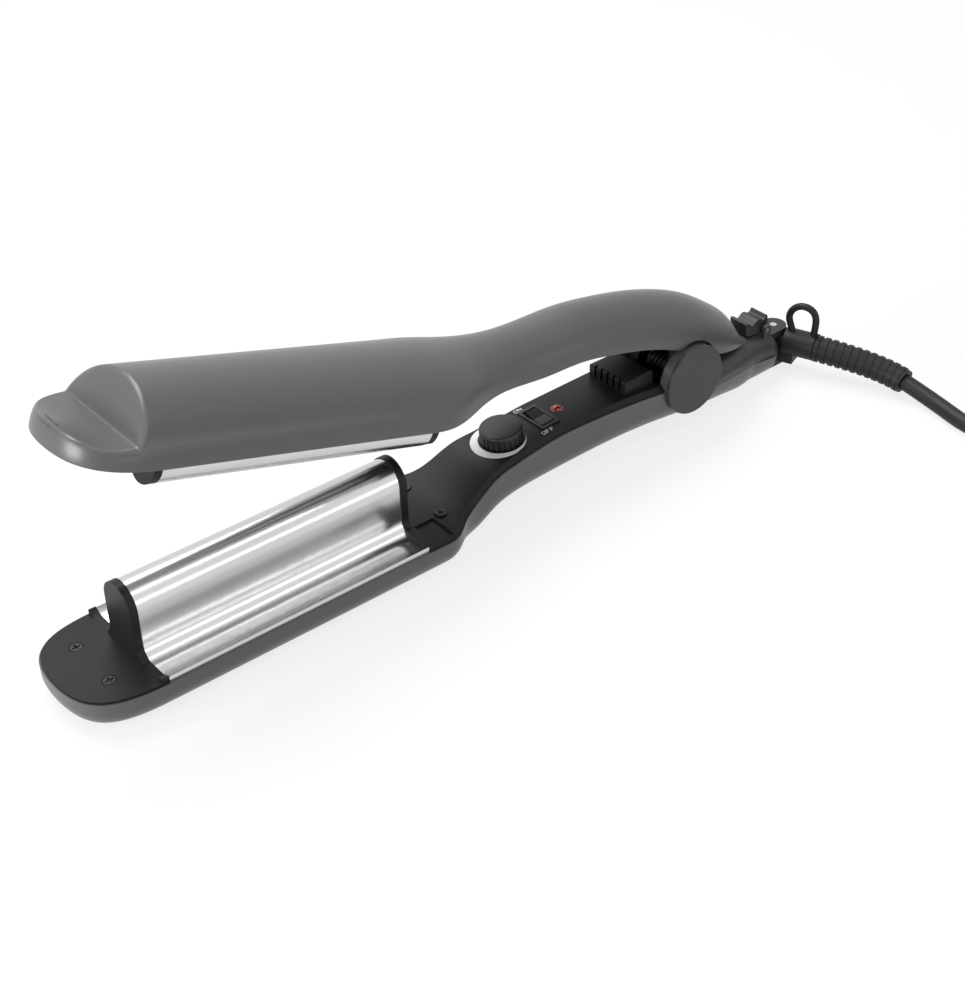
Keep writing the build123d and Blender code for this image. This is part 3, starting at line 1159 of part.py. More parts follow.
# ---- Cord end -----------------------------------------------------------------------------------------
collar_x = BARREL_END + COLLAR_GAP
boot_centre = (BOOT_X, 0, BARREL_Z)
with BuildPart() as swivel_collar:
    add(rod((collar_x, 0, BARREL_Z), (1, 0, 0), COLLAR_RADIUS, COLLAR_DISC))
    add(rod((BARREL_END - WALL - COLLAR_GAP, 0, BARREL_Z), (1, 0, 0), SPIGOT_RADIUS, WALL + 2 * COLLAR_GAP))
    add(rod((BARREL_END - WALL - COLLAR_GAP, 0, BARREL_Z), (-1, 0, 0), FLANGE_RADIUS, FLANGE_THICKNESS))
    for side in (-1, 1):
        z = BARREL_Z + side * (YOKE_SLOT / 2 + (COLLAR_RADIUS - YOKE_SLOT / 2) / 2)
        with Locations((BOOT_X, 0, z)):
            Cylinder(YOKE_RADIUS, COLLAR_RADIUS - YOKE_SLOT / 2)
        with Locations((collar_x, 0, z)):
            Box(BOOT_X - collar_x, 2 * YOKE_RADIUS, COLLAR_RADIUS - YOKE_SLOT / 2,
                align=(Align.MIN, Align.CENTER, Align.CENTER))
    with Locations(boot_centre):
        Cylinder(BOOT_PIN_RADIUS + PIN_FIT, TOP, mode=Mode.SUBTRACT)
    add(
        rod((BARREL_END - 2 * BEYOND, 0, BARREL_Z), (1, 0, 0), CORD_DIAMETER / 2, 3 * BEYOND),
        mode=Mode.SUBTRACT,
    )
write(swivel_collar.part, "swivel_collar")

with BuildPart() as boot_pin:
    with Locations(boot_centre):
        Cylinder(BOOT_PIN_RADIUS, 2 * COLLAR_RADIUS)
write(boot_pin.part, "boot_pin")

# The strain relief is drawn along +X from its pin and turned to its rest.
boot_z = BARREL_Z + BOOT_RISE
boot_turn = Axis(boot_centre, (0, 0, 1))
boot_bend = radians(BOOT_BEND)
with BuildPart() as strain_relief:
    with Locations(boot_centre):
        Cylinder(BOOT_EYE_RADIUS, YOKE_SLOT - 2 * BOOT_EYE_CLEARANCE)
    with Locations((BOOT_X, 0, BARREL_Z)):
        Box(BOOT_START + BEYOND, 2 * BOOT_EYE_RADIUS, YOKE_SLOT - 2 * BOOT_EYE_CLEARANCE,
            align=(Align.MIN, Align.CENTER, Align.CENTER))
    with BuildLine():
        spine = Spline(
            (BOOT_X + BOOT_START, 0, boot_z),
            (BOOT_X + BOOT_RIB_START, 0, boot_z - BOOT_SAG),
            (BOOT_X + BOOT_LENGTH, 0, BOOT_END_Z),
            tangents=[(1, 0, 0), (cos(boot_bend), -sin(boot_bend), -BOOT_DIP)],
        )
    with BuildSketch(Plane(spine @ 0, z_dir=spine % 0)):
        Circle(BOOT_CORE_RADIUS)
    sweep()
    rib_pitch = (BOOT_LENGTH - BOOT_RIB_START) / BOOT_RIBS
    for i in range(BOOT_RIBS):
        share = (BOOT_RIB_START - BOOT_START + i * rib_pitch) / (BOOT_LENGTH - BOOT_START)
        add(rod(spine @ share, spine % share, BOOT_RIB_RADIUS - BOOT_TAPER * share, BOOT_RIB_WIDTH))
    add(rod(spine @ 0, (1, 0, 0), BOOT_RIB_RADIUS, BOOT_RIB_START - BOOT_START))
    with BuildLine():
        loop = Spline(
            (BOOT_X + LOOP_START + 1.0, 0, boot_z + 1.0),
            (BOOT_X + LOOP_START, 0, boot_z + 0.4 * LOOP_HEIGHT),
            (BOOT_X + LOOP_START - 1.2, 0, boot_z + 0.7 * LOOP_HEIGHT),
            (BOOT_X + LOOP_START + 0.35 * LOOP_LENGTH, 0, boot_z + LOOP_HEIGHT),
            (BOOT_X + LOOP_START + 0.85 * LOOP_LENGTH, 0, boot_z + 0.93 * LOOP_HEIGHT),
            (BOOT_X + LOOP_START + LOOP_LENGTH, 0, boot_z + 0.5 * LOOP_HEIGHT),
            (BOOT_X + LOOP_START + 0.9 * LOOP_LENGTH, 0, boot_z + 1.0),
        )
    with BuildSketch(Plane(loop @ 0, z_dir=loop % 0)):
        Circle(LOOP_RADIUS)
    sweep()
    with Locations(boot_centre):
        Cylinder(BOOT_PIN_RADIUS + PIN_FIT, TOP, mode=Mode.SUBTRACT)
write(strain_relief.part.rotate(boot_turn, -BOOT_ANGLE), "strain_relief")

# The cord runs from the strain relief over the table into the outside of the coil.
away = radians(BOOT_ANGLE)
heading = radians(BOOT_ANGLE + BOOT_BEND)
floor_z = CORD_DIAMETER / 2
cord_start = Vector(BOOT_X + BOOT_LENGTH * cos(away), -BOOT_LENGTH * sin(away), BOOT_END_Z)
outer_turn = COIL_RADIUS + COIL_WIDTH / 2 - floor_z
route = [
    cord_start,
    cord_start + Vector(cos(heading), -sin(heading), -BOOT_DIP) * CORD_RUN,
    *[Vector(x, y, floor_z) for x, y in CORD_PLACES],
    *[Vector(x, COIL_Y - outer_turn, floor_z) for x in CORD_TO_COIL],
]
with BuildPart() as cord:
    with BuildLine():
        run = FilletPolyline(*route, radius=CORD_BEND)
    with BuildSketch(Plane(run @ 0, z_dir=run % 0)):
        Circle(CORD_DIAMETER / 2)
    sweep()
    with Locations((COIL_X, COIL_Y, 0)):
        Cylinder(COIL_RADIUS + COIL_WIDTH / 2, TOP, mode=Mode.SUBTRACT)
turns = [(b - a).get_angle(c - b) for a, b, c in zip(route, route[1:], route[2:])]
runs = [(b - a).length for a, b in zip(route, route[1:])]
print("cord volume, section times length:", cord.part.volume, pi * floor_z ** 2 * run.length)
print("cord turns and the radii they allow:", turns,
      [0.45 * min(a, b) / tan(radians(turn / 2)) for a, b, turn in zip(runs, runs[1:], turns)])
write(cord.part, "cord")

with BuildPart() as cord_coil:
    with BuildSketch(Plane.XZ):
        with Locations((COIL_RADIUS, COIL_HEIGHT / 2)):
            RectangleRounded(COIL_WIDTH, COIL_HEIGHT, COIL_ROUND)
    revolve(axis=Axis.Z)
write(cord_coil.part.moved(Location((COIL_X, COIL_Y, 0))), "cord_coil")

with BuildPart() as coil_tie:
    with Locations((COIL_X - COIL_RADIUS, COIL_Y, 0)):
        Box(COIL_WIDTH + 2 * (TIE_WALL + TIE_FIT), TIE_WIDTH, COIL_HEIGHT + TIE_WALL + TIE_FIT, align=BASE)
        Box(COIL_WIDTH + 2 * TIE_FIT, TIE_WIDTH, COIL_HEIGHT + TIE_FIT, align=BASE, mode=Mode.SUBTRACT)
write(coil_tie.part, "coil_tie")

# The other end leaves the coil's second layer along +Y and ends in the plug.
plug_x = COIL_X + outer_turn
plug_y = COIL_Y + PLUG_AWAY
plug_z = PLUG_THICKNESS / 2
tail = [
    Vector(plug_x, COIL_Y + CORD_DIAMETER, floor_z + 0.8 * CORD_DIAMETER),
    Vector(plug_x, plug_y - PLUG_RUN, plug_z),
    Vector(plug_x, plug_y, plug_z),
]
with BuildPart() as cord_tail:
    with BuildLine():
        tail_run = FilletPolyline(*tail, radius=CORD_BEND)
    with BuildSketch(Plane(tail_run @ 0, z_dir=tail_run % 0)):
        Circle(CORD_DIAMETER / 2)
    sweep()
    with Locations((COIL_X, COIL_Y, 0)):
        Cylinder(COIL_RADIUS + COIL_WIDTH / 2, TOP, mode=Mode.SUBTRACT)
write(cord_tail.part, "cord_tail")

plug_back = Plane((plug_x, plug_y + PLUG_NECK, plug_z), x_dir=(1, 0, 0), z_dir=(0, 1, 0))
with BuildPart() as plug_body:
    with BuildSketch(plug_back):
        RectangleRounded(2 * PLUG_HALF_WIDTH, PLUG_THICKNESS, PLUG_ROUND)
    extrude(amount=PLUG_LENGTH)
    with BuildSketch(Plane(plug_back.origin, x_dir=(1, 0, 0), z_dir=(0, -1, 0))):
        Circle(PLUG_THICKNESS / 2 - TIE_WALL)
    extrude(amount=PLUG_NECK, taper=PLUG_TAPER)
write(plug_body.part, "plug_body")
with BuildPart() as plug_pins:
    for side in (-1, 1):
        add(rod((plug_x + side * PLUG_PIN_SPREAD / 2, plug_y + PLUG_NECK + PLUG_LENGTH, plug_z), (0, 1, 0),
                PLUG_PIN_RADIUS, PLUG_PIN_LENGTH))
    fillet(plug_pins.faces().sort_by(Axis.Y)[-2:].edges(), radius=PLUG_PIN_ROUND)
write(plug_pins.part, "plug_pins")
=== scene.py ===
import bmesh
import bpy
import numpy as np
from mathutils import Matrix, Vector


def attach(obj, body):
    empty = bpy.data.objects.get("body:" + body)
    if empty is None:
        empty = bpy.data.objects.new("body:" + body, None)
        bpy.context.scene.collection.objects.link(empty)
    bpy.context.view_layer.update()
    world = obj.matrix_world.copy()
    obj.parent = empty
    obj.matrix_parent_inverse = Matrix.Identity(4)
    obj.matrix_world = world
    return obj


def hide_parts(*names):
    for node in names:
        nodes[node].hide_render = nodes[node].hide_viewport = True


# A deep hair waver, open on a white table. Metres, +Z up, +X from the nose to the cord, origin at
# the centre of the flat face under the lower head, on which the tool rests.
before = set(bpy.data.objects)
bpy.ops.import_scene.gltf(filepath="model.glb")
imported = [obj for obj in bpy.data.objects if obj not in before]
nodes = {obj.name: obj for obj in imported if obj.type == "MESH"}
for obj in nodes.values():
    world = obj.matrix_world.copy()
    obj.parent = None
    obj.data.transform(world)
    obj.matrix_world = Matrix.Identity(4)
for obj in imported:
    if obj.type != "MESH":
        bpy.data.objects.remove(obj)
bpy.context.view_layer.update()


# ---- The table and the studio --------------------------------------------------------------------
# A seamless white table top under three large soft boxes. The camera looks down on the tool from
# ahead of its nose.
class Socket:
    """One output in a material, on which + and * and the method maths add Math nodes."""

    def __init__(self, finish, output):
        self.finish, self.output = finish, output

    def maths(self, operation, *values):
        return self.finish.node("Math", {"operation": operation}, dict(enumerate(values)))

    def __add__(self, other):
        return self.maths("ADD", self, other)

    __radd__ = __add__

    def __mul__(self, other):
        return self.maths("MULTIPLY", self, other)

    __rmul__ = __mul__


class Finish:
    """The nodes of a material or a world: node() adds one and surface() sets the Principled shader."""

    def __init__(self, name, owners=bpy.data.materials):
        self.owner = owners.new(name)
        self.owner.use_nodes = True
        self.tree = self.owner.node_tree

    def fill(self, made, inputs):
        for key, value in inputs.items():
            if isinstance(value, Socket):
                self.tree.links.new(value.output, made.inputs[key])
            else:
                made.inputs[key].default_value = value

    def node(self, kind, settings, inputs, output=0):
        made = self.tree.nodes.new("ShaderNode" + kind)
        for key, value in settings.items():
            if key == "stops":
                for element, (place, colour) in zip(made.color_ramp.elements, value):
                    element.position = place
                    element.color = (*colour, 1)
            else:
                setattr(made, key, value)
        self.fill(made, inputs)
        return Socket(self, made.outputs[output])

    def surface(self, **inputs):
        named = {key.replace("_", " "): value for key, value in inputs.items()}
        self.fill(self.tree.nodes["Principled BSDF"], named)
        return self.owner

    def seen(self):
        """1 for rays that show the background: straight, in gloss or through glass."""
        kinds = ("Camera", "Glossy", "Transmission")
        camera_ray, glossy_ray, glass_ray = [
            self.node("LightPath", {}, {}, f"Is {kind} Ray") for kind in kinds
        ]
        return camera_ray + glossy_ray + glass_ray

    def grain(self, scale, stretch=(1, 1, 1), detail=3.0):
        """Noise in object space, finer as scale grows and drawn out where stretch is small."""
        place = self.node("TexCoord", {}, {}, "Object")
        place = self.node("Mapping", {}, {"Vector": place, "Scale": stretch})
        return self.node("TexNoise", {}, {"Vector": place, "Scale": scale, "Detail": detail})

    def blend(self, share, low, high):
        """Colour that goes from low to high as share goes from 0 to 1."""
        return self.node("ValToRGB", {"stops": [(0.0, low), (1.0, high)]}, {"Fac": share})

    def bumps(self, height, strength, distance):
        """Normal over a relief of that height."""
        return self.node("Bump", {}, {"Height": height, "Strength": strength, "Distance": distance})


def dress(names, material):
    """Gives one finish to CAD nodes that stay as they are."""
    for name in names:
        mesh = nodes[name].data
        mesh.materials.clear()
        mesh.materials.append(material)


camera_data = bpy.data.cameras.new("camera")
camera = bpy.data.objects.new("camera", camera_data)
bpy.context.scene.collection.objects.link(camera)
camera_data.lens = 65.33
camera_data.clip_start = 0.01
camera_place = (-0.26242, -0.45234, 0.41130)
right, up, back = (0.7713, -0.6362, -0.0190), (0.3790, 0.4352, 0.8166), (-0.5112, -0.6371, 0.5768)
camera_turn = Matrix((right, up, back)).transposed().to_4x4()
camera.matrix_world = Matrix.Translation(camera_place) @ camera_turn
bpy.context.scene.camera = camera

table_half, table_top, glow = 4.0, -0.0002, 0.8
table_mesh = bpy.data.meshes.new("table")
corners = [(x * table_half, y * table_half, table_top) for x, y in ((-1, -1), (1, -1), (1, 1), (-1, 1))]
table_mesh.from_pydata(corners, [], [(0, 1, 2, 3)])
table = bpy.data.objects.new("table", table_mesh)
bpy.context.scene.collection.objects.link(table)
table_finish = Finish("white_table")
table_mesh.materials.append(
    table_finish.surface(Base_Color=(0.8, 0.8, 0.8, 1), Roughness=0.6, Specular_IOR_Level=0.1))
matte = Socket(table_finish, table_finish.tree.nodes["Principled BSDF"].outputs[0])
white = table_finish.node("Emission", {}, {"Color": (1, 1, 1, 1), "Strength": 1.0})
table_look = table_finish.node("MixShader", {}, {0: table_finish.seen() * glow, 1: matte, 2: white})
table_finish.fill(table_finish.tree.nodes["Material Output"], {"Surface": table_look})

sky = Finish("studio", bpy.data.worlds)
bpy.context.scene.world = sky.owner
sky_strength = sky.node("MapRange", {}, {"Value": sky.seen(), "To Min": 0.32, "To Max": 1.0})
sky.fill(sky.tree.nodes["Background"], {"Color": (1, 1, 1, 1), "Strength": sky_strength})


def soft_box(name, place, aim, width, height, power):
    """A large area lamp at place that faces aim."""
    lamp_data = bpy.data.lights.new(name, "AREA")
    lamp_data.shape = "RECTANGLE"
    lamp_data.size, lamp_data.size_y = width, height
    lamp_data.energy = power
    lamp = bpy.data.objects.new(name, lamp_data)
    bpy.context.scene.collection.objects.link(lamp)
    turn = (Vector(aim) - Vector(place)).to_track_quat("-Z", "Y")
    lamp.matrix_world = Matrix.Translation(place) @ turn.to_matrix().to_4x4()


middle = (0.09, 0.0, 0.03)
soft_box("top_box", (0.05, 0.45, 1.0), middle, 1.0, 0.5, 13)
soft_box("front_box", (-1.0, 0.05, 0.30), middle, 0.5, 0.4, 9)
soft_box("side_box", (0.3, -1.2, 0.25), middle, 1.2, 0.12, 2)
soft_box("strip_box", (0.0, -0.55, 1.05), middle, 1.4, 0.08, 2.5)

bpy.context.scene.view_settings.view_transform = "Standard"

# ---- Mains cord ----------------------------------------------------------------------------------
# A round 7 mm lead with a black rubber sheath. It leaves the strain relief, lies on the table and
# is wound into a tied coil of nine turns beside the tool.
cord_thickness = 0.007
floor_height = cord_thickness / 2
leave = [(0.28525, -0.05601, 0.0070), (0.28644, -0.07297, 0.0036), (0.2820, -0.0920, floor_height),
         (0.2855, -0.1117, floor_height), (0.3003, -0.1306, floor_height), (0.3293, -0.1435, floor_height),
         (0.3540, -0.1435, floor_height)]

# Angle and radius of the coil go round turn by turn: each turn keeps its ring and height, and moves
# over to the next one's in its last quarter. The points stand out by spread, because a NURBS line
# with so few points a turn runs inside them.
coil_middle = np.array([0.366, -0.098])
turn_points, turn_count, step_over = 14, 9.25, 0.25
near, halfway, far = 0.0315, 0.0385, 0.0455
low, mid, high = floor_height + cord_thickness * np.arange(3)
layers = np.array([(far, low), (halfway, low), (near, low), (near, mid), (halfway, mid), (near, high),
                   (halfway, high), (far, high), (far, mid), (far, mid)])
turns = np.arange(int(turn_count * turn_points) + 1) / turn_points
lap = np.minimum(turns.astype(int), len(layers) - 1)
climb = np.clip((turns - lap - (1 - step_over)) / step_over, 0, 1)
climb = climb * climb * (3 - 2 * climb)
after = np.minimum(lap + 1, len(layers) - 1)
ring = layers[lap] * (1 - climb)[:, None] + layers[after] * climb[:, None]
spread = 0.75 + 0.25 * np.cos(2 * np.pi / turn_points)
angle = 2 * np.pi * turns - np.pi / 2
wound = np.column_stack([coil_middle[0] + ring[:, 0] / spread * np.cos(angle),
                         coil_middle[1] + ring[:, 0] / spread * np.sin(angle), ring[:, 1]])
ending = [(0.4115, -0.0850, 0.0092), (0.4115, -0.0750, 0.0070), (0.4115, -0.0660, 0.0070)]
route = np.vstack([leave, wound, ending])

cord_curve = bpy.data.curves.new("mains_cord", "CURVE")
cord_curve.dimensions = "3D"
cord_curve.bevel_depth = cord_thickness / 2
cord_curve.bevel_resolution = 5
cord_curve.resolution_u = 4
line = cord_curve.splines.new("NURBS")
line.points.add(len(route) - 1)
line.points.foreach_set("co", np.column_stack([route, np.ones(len(route))]).ravel())
line.order_u = 3
line.use_endpoint_u = True
mains_cord = bpy.data.objects.new("mains_cord", cord_curve)
bpy.context.scene.collection.objects.link(mains_cord)
rubber = Finish("cord_rubber")
rubber_grain = rubber.grain(900)
rubber_look = rubber.surface(
    Base_Color=rubber.blend(rubber_grain, (0.006, 0.006, 0.006), (0.012, 0.012, 0.012)),
    Specular_IOR_Level=0.25,
    Roughness=0.42 + 0.12 * rubber_grain,
    Normal=rubber.bumps(rubber_grain, 0.15, 0.0002),
)
cord_curve.materials.append(rubber_look)
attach(mains_cord, "boot")
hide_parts("cord", "cord_coil", "cord_tail")

# ---- Lower shell ---------------------------------------------------------------------------------
# The tub under the lower arm and the half pipe behind its hinge, one moulding in dark grey plastic
# with a fine spark-eroded skin. Everything in the lower arm is clipped or screwed into it.
def moulded(name, dark, pale, rough, shine=0.35):
    """Injection-moulded plastic: fine mould grain, broad faint cloudiness and dull touched patches."""
    finish = Finish(name)
    fine = finish.grain(1400)
    broad = finish.grain(25)
    handled = finish.grain(70, (0.5, 1, 1))
    return finish.surface(
        Base_Color=finish.blend(broad * 0.5 + fine * 0.5, dark, pale),
        Roughness=rough + 0.07 * broad + 0.06 * handled,
        Specular_IOR_Level=shine,
        Normal=finish.bumps(fine, 0.12, 0.0002),
    )


shell_grey = moulded("shell_grey", (0.066, 0.068, 0.069), (0.084, 0.086, 0.088), 0.27, 0.5)
dress(["lower_shell"], shell_grey)

# ---- Lower nose cover and the screws in the arm --------------------------------------------------
# The flat black cover ahead of the lower plate and the wall that closes the plate's front end. Two
# countersunk screws hold it to the shell, two more hold the panel's neck: blackened steel.
cover_black = moulded("cover_black", (0.0090, 0.0086, 0.0080), (0.0140, 0.0135, 0.0126), 0.34, 0.16)
dress(["lower_nose_cover"], cover_black)


def metal(name, dark, pale, rough):
    """Bare metal with the fine unevenness that its working leaves."""
    finish = Finish(name)
    worked = finish.grain(300)
    return finish.surface(
        Base_Color=finish.blend(worked, dark, pale),
        Metallic=1.0,
        Roughness=rough + 0.12 * worked,
        Normal=finish.bumps(worked, 0.08, 0.0001),
    )


screw_steel = metal("screw_steel", (0.030, 0.028, 0.026), (0.050, 0.047, 0.044), 0.35)
dress(["lower_nose_screws", "lower_neck_screws", "board_screws", "cord_clamp_screws"], screw_steel)

# ---- Heating plates ------------------------------------------------------------------------------
# Two extruded aluminium plates, polished along their length and clear coated: one has a ridge, the
# other two. They sit in slots of the black covers and move a little on their springs.
polished = Finish("plate_metal")
drawn = polished.grain(260, (0.010, 1, 1), 2.0)
cloud = polished.grain(40, (0.3, 1, 1), 2.0)
plate_metal = polished.surface(
    Base_Color=polished.blend(drawn * 0.6 + cloud * 0.4, (0.52, 0.52, 0.525), (0.72, 0.72, 0.72)),
    Metallic=1.0,
    Roughness=0.17 + 0.10 * cloud,
    Normal=polished.bumps(drawn, 0.05, 0.00008),
)
dress(["lower_plate", "upper_plate"], plate_metal)

# ---- Heaters, their springs, sensors and fuse ----------------------------------------------------
# Ceramic heater bars in sheet metal jackets behind the plates, held by bent spring clamps. A bead
# sensor sits by each bar, and the lower arm also has a thermal fuse.
jacket_steel = metal("jacket_steel", (0.42, 0.42, 0.42), (0.55, 0.55, 0.55), 0.30)
dress(["lower_heater", "upper_heaters", "lower_heater_clamps", "upper_heater_springs", "lower_sensor",
       "thermal_fuse", "upper_sensor"], jacket_steel)

# ---- Control board and what is on it -------------------------------------------------------------
# A glass-epoxy board under the panel with the potentiometer of the knob and the red indicator lamp.
# It is screwed to the shell, and insulated wires join it to the heaters and to the mains cord.
board_green = moulded("board_green", (0.02, 0.12, 0.05), (0.03, 0.17, 0.07), 0.3)
housing_black = moulded("housing_black", (0.014, 0.014, 0.014), (0.022, 0.022, 0.022), 0.38)
wire_sleeve = moulded("wire_sleeve", (0.45, 0.44, 0.42), (0.55, 0.54, 0.52), 0.45)
dress(["control_board"], board_green)
dress(["potentiometer", "switch_housing", "cord_clamp"], housing_black)
dress(["lower_heater_wires", "mains_wires", "upper_heater_wires"], wire_sleeve)

# ---- Handle cover --------------------------------------------------------------------------------
# The black panel along the lower handle, with the cheek walls beside the plate and the block that the
# hinge spring pushes on. It clips over the shell and carries the knob, the switch and the lamp.
dress(["handle_cover", "spring_block"], cover_black)

# ---- Knob, scale and switch ----------------------------------------------------------------------
# A round black knob turns on the potentiometer's shaft inside a thin pale crescent that marks its
# scale. Behind it are a black rocker with its two printed words and the red lens of the lamp.
knob_black = moulded("knob_black", (0.010, 0.010, 0.010), (0.016, 0.016, 0.016), 0.32)
shaft_white = moulded("shaft_white", (0.60, 0.60, 0.58), (0.70, 0.70, 0.68), 0.40)
print_white = moulded("print_white", (0.66, 0.66, 0.66), (0.76, 0.76, 0.76), 0.40)
dress(["knob", "rocker"], knob_black)
dress(["dial_shaft"], shaft_white)
dress(["dial_scale"], print_white)
lens = Finish("lamp_red")
facets = lens.grain(500)
lamp_red = lens.surface(
    Base_Color=lens.blend(facets, (0.20, 0.006, 0.006), (0.30, 0.012, 0.012)),
    Roughness=0.12 + 0.08 * facets,
    Coat_Weight=0.5,
)
dress(["lamp_lens", "indicator_led"], lamp_red)


def skin(name, grids, body, material, wall=None, around=False):
    """Smooth mesh of grids of points (rows, columns, xyz), with doubles merged and an optional wall."""
    mesh = bpy.data.meshes.new(name)
    quads, first = [], 0
    for points in grids:
        rows, columns = points.shape[:2]
        index = first + np.arange(rows * columns).reshape(rows, columns)
        if around:
            index = np.column_stack([index, index[:, :1]])
        around_each = [index[:-1, :-1], index[1:, :-1], index[1:, 1:], index[:-1, 1:]]
        quads.append(np.stack(around_each, -1).reshape(-1, 4))
        first += rows * columns
    places = np.concatenate([points.reshape(-1, 3) for points in grids])
    mesh.from_pydata(places.tolist(), [], np.concatenate(quads).tolist())
    work = bmesh.new()
    work.from_mesh(mesh)
    bmesh.ops.remove_doubles(work, verts=work.verts, dist=1e-6)
    bmesh.ops.dissolve_degenerate(work, edges=work.edges, dist=1e-7)
    bmesh.ops.recalc_face_normals(work, faces=work.faces)
    work.to_mesh(mesh)
    work.free()
    mesh.polygons.foreach_set("use_smooth", [True] * len(mesh.polygons))
    mesh.materials.append(material)
    piece = bpy.data.objects.new(name, mesh)
    bpy.context.scene.collection.objects.link(piece)
    if wall:
        thick = piece.modifiers.new("wall", "SOLIDIFY")
        thick.thickness = wall
        thick.offset = -1
    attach(piece, body)
    return piece


# The words are thin raised ink on the panel, which slopes down to the nose a little there.
panel_middle = np.array([0.129687, 0.0, 0.0279])
panel_up = np.array([-0.052741, 0.0, 0.998608])
panel_along = np.array([0.998608, 0.0, 0.052741])
letter_width, letter_height, letter_gap, pen, ink = 0.0015, 0.0019, 0.0006, 0.00026, 0.00006
round_way = np.linspace(0, 2 * np.pi, 33)
letters = {
    "O": [np.column_stack([0.5 + 0.5 * np.cos(round_way), 0.5 + 0.5 * np.sin(round_way)])],
    "N": [np.array([[0, 0], [0, 1]]), np.array([[0, 1], [1, 0]]), np.array([[1, 0], [1, 1]])],
    "F": [np.array([[0, 0], [0, 1]]), np.array([[0, 1], [0.9, 1]]), np.array([[0, 0.52], [0.75, 0.52]])],
}


def inked(stroke, start):
    """Closed bar along a flat stroke: half the pen to the left and right of it, as high as the ink."""
    flat = stroke * [letter_width, letter_height] + start
    way = np.gradient(flat, axis=0)
    side = np.column_stack([-way[:, 1], way[:, 0]]) / np.linalg.norm(way, axis=1)[:, None] * pen / 2
    edges = np.stack([flat - side, flat + side, flat + side, flat - side], 1)
    place = panel_middle + edges[..., :1] * panel_along + edges[..., 1:] * [0, 1, 0]
    bar = place + np.array([ink, ink, -ink, -ink])[:, None] * panel_up
    ends = [np.broadcast_to(bar[end].mean(0), (1, 4, 3)) for end in (0, -1)]
    return np.concatenate([ends[0], bar, ends[1]])


for word, spot in (("ON", (-0.0030, 0.0092)), ("OFF", (-0.0034, -0.0094))):
    begin = spot[0] - (len(word) * (letter_width + letter_gap) - letter_gap) / 2
    bars = [inked(stroke, (begin + place * (letter_width + letter_gap), spot[1] - letter_height / 2))
            for place, letter in enumerate(word) for stroke in letters[letter]]
    skin("print_" + word.lower(), bars, "lower_arm", print_white, around=True)

# A small pale dot in the panel ends the scale beside the knob.
dot_middle, dot_radius, dot_rise = np.array([-0.0094, -0.0003]), 0.0006, 0.00008
dot_rings, dot_spokes = np.linspace(0, 1, 6), np.linspace(0, 2 * np.pi, 24, endpoint=False)
dot_share, dot_turn = np.meshgrid(dot_rings, dot_spokes, indexing="ij")
dot_flat = dot_middle + dot_radius * dot_share[..., None] * np.stack([np.cos(dot_turn), np.sin(dot_turn)], -1)
dot_height = dot_rise * (1 - dot_share ** 2)[..., None] + ink
dot = panel_middle + dot_flat[..., :1] * panel_along + dot_flat[..., 1:] * [0, 1, 0] + dot_height * panel_up
skin("print_dot", [dot], "lower_arm", print_white, around=True)

# ---- Hinge ---------------------------------------------------------------------------------------
# A steel pin through both arms in two white bushes, with a dark wire spring coiled round it that
# holds the arms apart. A plain black cap closes each end.
pin_steel = metal("pin_steel", (0.50, 0.50, 0.50), (0.62, 0.62, 0.62), 0.25)
spring_dark = metal("spring_dark", (0.03, 0.03, 0.03), (0.05, 0.05, 0.05), 0.35)
dress(["hinge_pin"], pin_steel)
dress(["hinge_bushes"], shaft_white)
dress(["torsion_spring"], spring_dark)
cap_grey = moulded("cap_grey", (0.028, 0.029, 0.030), (0.040, 0.041, 0.042), 0.34)
dress(["hinge_cap_left", "hinge_cap_right"], cap_grey)

# ---- Barrel, lock and cord outlet ----------------------------------------------------------------
# The upper half of the pipe behind the hinge closes over the cord clamp. A small lever on it locks
# the arms shut. A collar turns in its end, and a ribbed rubber boot folds in the collar.
barrel_grey = moulded("barrel_grey", (0.034, 0.035, 0.036), (0.048, 0.049, 0.050), 0.36)
dress(["barrel_cover"], barrel_grey)
dress(["lock_lever", "swivel_collar"], housing_black)
dress(["lock_pin", "boot_pin"], pin_steel)
dress(["strain_relief"], rubber_look)

# ---- Plug and tie --------------------------------------------------------------------------------
# A plain moulded two-pin plug on the cord's end with plated pins, and the hook-and-loop tie that
# holds the coil together.
plated_brass = metal("plated_brass", (0.58, 0.57, 0.55), (0.70, 0.69, 0.67), 0.18)
dress(["plug_body", "coil_tie"], rubber_look)
dress(["plug_pins"], plated_brass)

# ---- Upper covers --------------------------------------------------------------------------------
# The black tray under the upper arm carries its plate and closes the handle's underside, and a black
# wall closes the plate's front end.
dress(["upper_inner_cover", "upper_nose_cover"], cover_black)

# ---- Upper shell ---------------------------------------------------------------------------------
# One long moulding in dark grey plastic with a soft matte skin: a dome over the plate with a scooped
# thumb lip at its nose, then a slim curved handle that ends behind the hinge. It clips over the
# upper arm's black inner cover, and is notched round the hinge. Drawn closed and turned open.
hinge_x, hinge_z = 0.19825, 0.0254
open_angle = np.radians(16.7)


def opened(points):
    """Turns closed-pose points about the hinge: x' = cx + sz and z' = cz - sx from the hinge's axis."""
    x, z = points[..., 0] - hinge_x, points[..., 2] - hinge_z
    turned = points.copy()
    turned[..., 0] = hinge_x + np.cos(open_angle) * x + np.sin(open_angle) * z
    turned[..., 2] = hinge_z - np.sin(open_angle) * x + np.cos(open_angle) * z
    return turned


